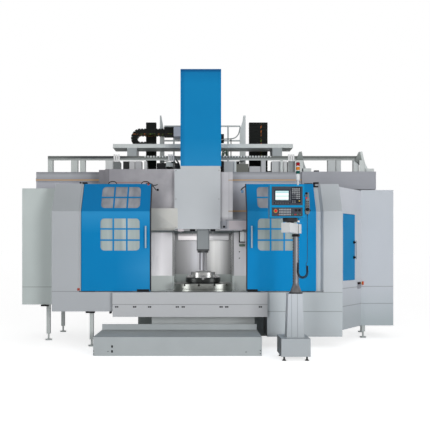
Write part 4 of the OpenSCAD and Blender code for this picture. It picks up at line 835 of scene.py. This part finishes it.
# Painted shade: the base's left face, which stands in shadow, is darkened.
tone = mixed(0.6 * (1 - ramp(across, 1.0662, 1.0668)), tone, chip(24, 32, 28))
tone = mixed(0.6 * (bump(across, 1.308, 0.007) + bump(across, 1.225, 0.007)) * ramp(high, 0.306, 0.312),
             tone, chip(96, 100, 108))
place.feed(sockets["Base Color"], mixed(ramp(high, 0.0565, 0.0570), chip(44, 46, 46), tone))
place.feed(sockets["Roughness"], 0.38 + 0.1 * cloud(place, 7))
place.feed(sockets["Normal"], relief(cloud(place, 240, 1), 0.0002))
dress(pedestal_coat, "pedestal_base")
post_coat, sockets, place = finish("post_coat", roughness=0.35, metallic=0.3)
across, high = (place.node("ShaderNodeSeparateXYZ", None, {0: place}, k) for k in (0, 2))
# Painted reflections and shade: light and dark vertical stripes across the round post, dark at both edges.
painted_post_glints = across.node("ShaderNodeValToRGB", {"stops": [
    (0.0, chip(48, 48, 50)), (0.16, chip(100, 101, 104)), (0.40, chip(120, 121, 126)),
    (0.55, chip(172, 173, 178)), (0.64, chip(188, 188, 194)), (0.72, chip(108, 108, 112)),
    (0.80, chip(78, 78, 82)), (0.92, chip(134, 135, 139)), (1.0, chip(54, 54, 58))]},
    {0: ramp(across, 1.254, 1.346)})
cone = 1 - ramp(high, 1.015, 1.075)
streaks = cloud(place, 30, 2, (1, 1, 0.03))
place.feed(sockets["Base Color"], mixed(cone, painted_post_glints, mixed(streaks, chip(58, 58, 60), chip(124, 124, 127))))
place.feed(sockets["Roughness"], 0.3 + 0.16 * cloud(place, 20))
dress(post_coat, "pedestal_post")
fit("post_collar", turned([[0.046, 0], [0.056, 0.002], [0.057, 0.020], [0.052, 0.026], [0.052, 0.036],
                           [0.046, 0.038]], [1.300, -1.870, 1.712]), black_plastic, slot="track_dark")
fit("post_foot_ring", turned([[0.088, 0], [0.096, 0.001], [0.096, 0.012], [0.089, 0.016]],
                             [1.300, -1.870, 0.913]), black_plastic, slot="track_dark")
dress(enamel("pendant_blue", chip(16, 136, 186), chip(10, 124, 174), 0.42, 0.00025), "control_box")
arm_coat, sockets, place = finish("arm_coat", roughness=0.4)
high = place.node("ShaderNodeSeparateXYZ", None, {0: place}, 2)
ahead = place.node("ShaderNodeVectorMath", {"operation": "DOT_PRODUCT"}, {0: place, 1: (-0.408, -0.913, 0)}, 1)
face = mixed(cloud(place, 4), chip(232, 235, 238), chip(244, 246, 248))
# Painted shade: the arm's end face is a darker grey than its sides.
face = mixed(ramp(ahead, 1.6915, 1.6920), face, chip(170, 173, 174))
place.feed(sockets["Base Color"], mixed(ramp(high, 1.8905, 1.8915), face, chip(30, 30, 33)))
place.feed(sockets["Normal"], relief(cloud(place, 240, 1), 0.0002))
dress(arm_coat, "pendant_arm")
film, sockets, place = finish("panel_film", roughness=0.45, specular_ior_level=0.2)
place.feed(sockets["Base Color"], mixed(cloud(place, 30), chip(58, 62, 70), chip(68, 72, 80)))
place.feed(sockets["Normal"], relief(cloud(place, 700, 1), 0.0001))
dress(film, "operator_panel")
face_y = -2.248
screen, sockets, place = finish("screen", roughness=0.2, emission_strength=0.12)
high = place.node("ShaderNodeSeparateXYZ", None, {0: place}, 2)
lines = high.node("ShaderNodeValToRGB", {"hold": True, "stops": [
    (0.0, chip(196, 218, 218)), (0.12, chip(226, 238, 238)), (0.36, chip(186, 216, 206)),
    (0.46, chip(216, 232, 232)), (0.54, chip(238, 246, 246)), (0.72, chip(160, 206, 208)),
    (0.82, chip(196, 222, 224)), (0.92, chip(120, 164, 170))]}, {0: ramp(high, 2.196, 2.328)})
place.feed(sockets["Base Color"], lines)
place.feed(sockets["Emission Color"], lines)
fit("screen", pads([1.0545, face_y, 2.262], 0.178, 0.128, 0.0015, 0.004), screen, "pendant", "window")
bezel, sockets, place = finish("bezel", roughness=0.4, specular_ior_level=0.2)
place.feed(sockets["Base Color"], mixed(cloud(place, 50), chip(30, 33, 40), chip(40, 43, 50)))
fit("screen_bezel", pads([1.0545, face_y, 2.262], 0.204, 0.154, 0.0011, 0.008), bezel, "pendant", "panel_dark")
fit("key_field_plates", pads([[1.243, face_y, 2.262], [1.0545, face_y, 2.158]], [0.136, 0.222],
                             [0.214, 0.030], 0.0008, 0.006), bezel, "pendant", "panel_dark")


def grid(x0, x1, columns, z0, z1, rows):
    """Places of keys in even columns and rows between the first and the last."""
    x, z = np.meshgrid(np.linspace(x0, x1, columns), np.linspace(z0, z1, rows))
    return np.stack([x.ravel(), 0 * x.ravel() + face_y, z.ravel()], 1)


pale_key, sockets, place = finish("pale_key", roughness=0.45)
place.feed(sockets["Base Color"], mixed(cloud(place, 80), chip(132, 136, 140), chip(158, 162, 165)))
dark_key, sockets, place = finish("dark_key", roughness=0.45)
place.feed(sockets["Base Color"], mixed(cloud(place, 80), chip(84, 88, 94), chip(108, 112, 117)))
fit("letter_keys", pads(grid(1.200, 1.285, 4, 2.296, 2.348, 3), 0.020, 0.017, 0.004, 0.003), pale_key,
    "pendant", "fitting")
fit("number_keys", pads(grid(1.257, 1.285, 2, 2.222, 2.270, 3), 0.020, 0.015, 0.004, 0.003), pale_key,
    "pendant", "fitting")
fit("edit_keys", pads(grid(1.200, 1.228, 2, 2.222, 2.270, 3), 0.020, 0.015, 0.004, 0.003), dark_key,
    "pendant", "fitting")
fit("page_keys", pads(grid(1.200, 1.228, 2, 2.166, 2.186, 2), 0.020, 0.014, 0.004, 0.003), dark_key,
    "pendant", "fitting")
fit("soft_keys", pads(np.concatenate([grid(0.966, 1.143, 9, 2.158, 2.158, 1),
                                      grid(1.168, 1.168, 1, 2.206, 2.318, 7)]), 0.014, 0.012, 0.003, 0.002),
    dark_key, "pendant", "fitting")
yellow, sockets, place = finish("signal_yellow", roughness=0.35)
place.feed(sockets["Base Color"], mixed(cloud(place, 60), chip(186, 160, 60), chip(204, 178, 80)))
red, sockets, place = finish("signal_red", roughness=0.3)
place.feed(sockets["Base Color"], mixed(cloud(place, 60), chip(190, 20, 22), chip(212, 36, 34)))
green, sockets, place = finish("signal_green", roughness=0.3)
place.feed(sockets["Base Color"], mixed(cloud(place, 60), chip(20, 130, 80), chip(40, 150, 96)))
fit("yellow_key", pads([1.288, face_y, 2.186], 0.018, 0.014, 0.004, 0.003), yellow, "pendant", "fitting")
fit("machine_keys", pads(grid(1.024, 1.166, 8, 2.004, 2.070, 3), 0.0155, 0.022, 0.004, 0.003), pale_key,
    "pendant", "fitting")
fit("stop_ring", turned([[0.010, 0], [0.026, 0], [0.026, 0.003], [0.024, 0.004], [0.010, 0.004]],
                        [0.9676, face_y, 2.052], (0, -1, 0)), yellow, "pendant", "switch_red")
fit("stop_button", turned([[0.010, 0.003], [0.010, 0.016], [0.019, 0.018], [0.020, 0.024], [0.017, 0.031],
                           [0.008, 0.034], [0.001, 0.034]], [0.9676, face_y, 2.052], (0, -1, 0)), red,
    "pendant", "switch_red")
socket_x, socket_y = 1.302, -2.085
fit("lead_plug", turned([[0.014, 0], [0.017, 0.003], [0.017, 0.022], [0.014, 0.026]],
                        [socket_x, socket_y, 1.905]), white_enamel, "pendant", "fitting")
fit("override_dials", turned([[0.018, 0], [0.018, 0.004], [0.014, 0.006], [0.013, 0.020], [0.010, 0.022],
                              [0.001, 0.022]], [[1.2427, face_y, 2.062], [1.290, face_y, 2.062]], (0, -1, 0)),
    black_plastic, "pendant", "track_dark")
fit("machine_lamps", turned([[0.006, 0], [0.006, 0.004], [0.004, 0.006], [0.001, 0.006]],
                            [[x, face_y, 2.004] for x in (1.196, 1.262, 1.302)], (0, -1, 0), 14), green,
    "pendant", "lamp")
fit("machine_lamps_red", turned([[0.006, 0], [0.006, 0.004], [0.004, 0.006], [0.001, 0.006]],
                                [[x, face_y, 2.004] for x in (1.005, 1.228, 1.243)], (0, -1, 0), 14), red,
    "pendant", "lamp")
lamp_coat, sockets, place = finish("stack_lenses", roughness=0.3, specular_ior_level=0.2)
high = place.node("ShaderNodeSeparateXYZ", None, {0: place}, 2)
bands = high.node("ShaderNodeValToRGB", {"hold": True, "stops": [
    (0.0, chip(206, 209, 211)), (0.505, chip(8, 74, 68)), (0.630, chip(196, 200, 202)),
    (0.662, chip(188, 114, 34)), (0.797, chip(196, 200, 202)), (0.844, chip(134, 16, 30)),
    (0.978, chip(60, 20, 24))]}, {0: ramp(high, 2.402, 2.726)})
place.feed(sockets["Base Color"], bands)
place.feed(sockets["Roughness"], 0.2 + 0.1 * cloud(place, 40))
dress(lamp_coat, "stack_light")
hand_coat, sockets, place = finish("hand_unit_plastic", roughness=0.5)
side = place.node("ShaderNodeSeparateXYZ", None, {0: place}, 0)
high = place.node("ShaderNodeSeparateXYZ", None, {0: place}, 2)
shell = ramp(side, 1.3745, 1.3750) * ramp(high, 2.0105, 2.0110)
place.feed(sockets["Base Color"], mixed(shell, chip(30, 31, 33),
                                        mixed(cloud(place, 30), chip(92, 99, 103), chip(112, 118, 122))))
dress(hand_coat, "hand_unit")
hand_y = -2.215
fit("hand_unit_stop", turned([[0.012, 0], [0.012, 0.008], [0.010, 0.012], [0.001, 0.013]],
                             [1.388, hand_y, 2.229], (0, -1, 0)), red, "pendant", "switch_red")
fit("hand_unit_wheel", turned([[0.024, 0], [0.024, 0.010], [0.021, 0.013], [0.008, 0.014], [0.001, 0.014]],
                              [1.404, hand_y, 2.075], (0, -1, 0)), black_plastic, "pendant", "track_dark")
fit("hand_unit_knobs", turned([[0.017, 0], [0.017, 0.014], [0.013, 0.018], [0.001, 0.018]],
                              [[1.388, hand_y, 2.292], [1.433, hand_y + 0.02, 2.060]], (0, -1, 0), 20),
    black_plastic, "pendant", "track_dark")
fit("hand_unit_keys", pads([[1.394, hand_y, 2.180], [1.415, hand_y, 2.180], [1.394, hand_y, 2.150],
                            [1.415, hand_y, 2.150], [1.394, hand_y, 2.120], [1.415, hand_y, 2.120]],
                           0.013, 0.016, 0.003, 0.003), black_plastic, "pendant", "track_dark")
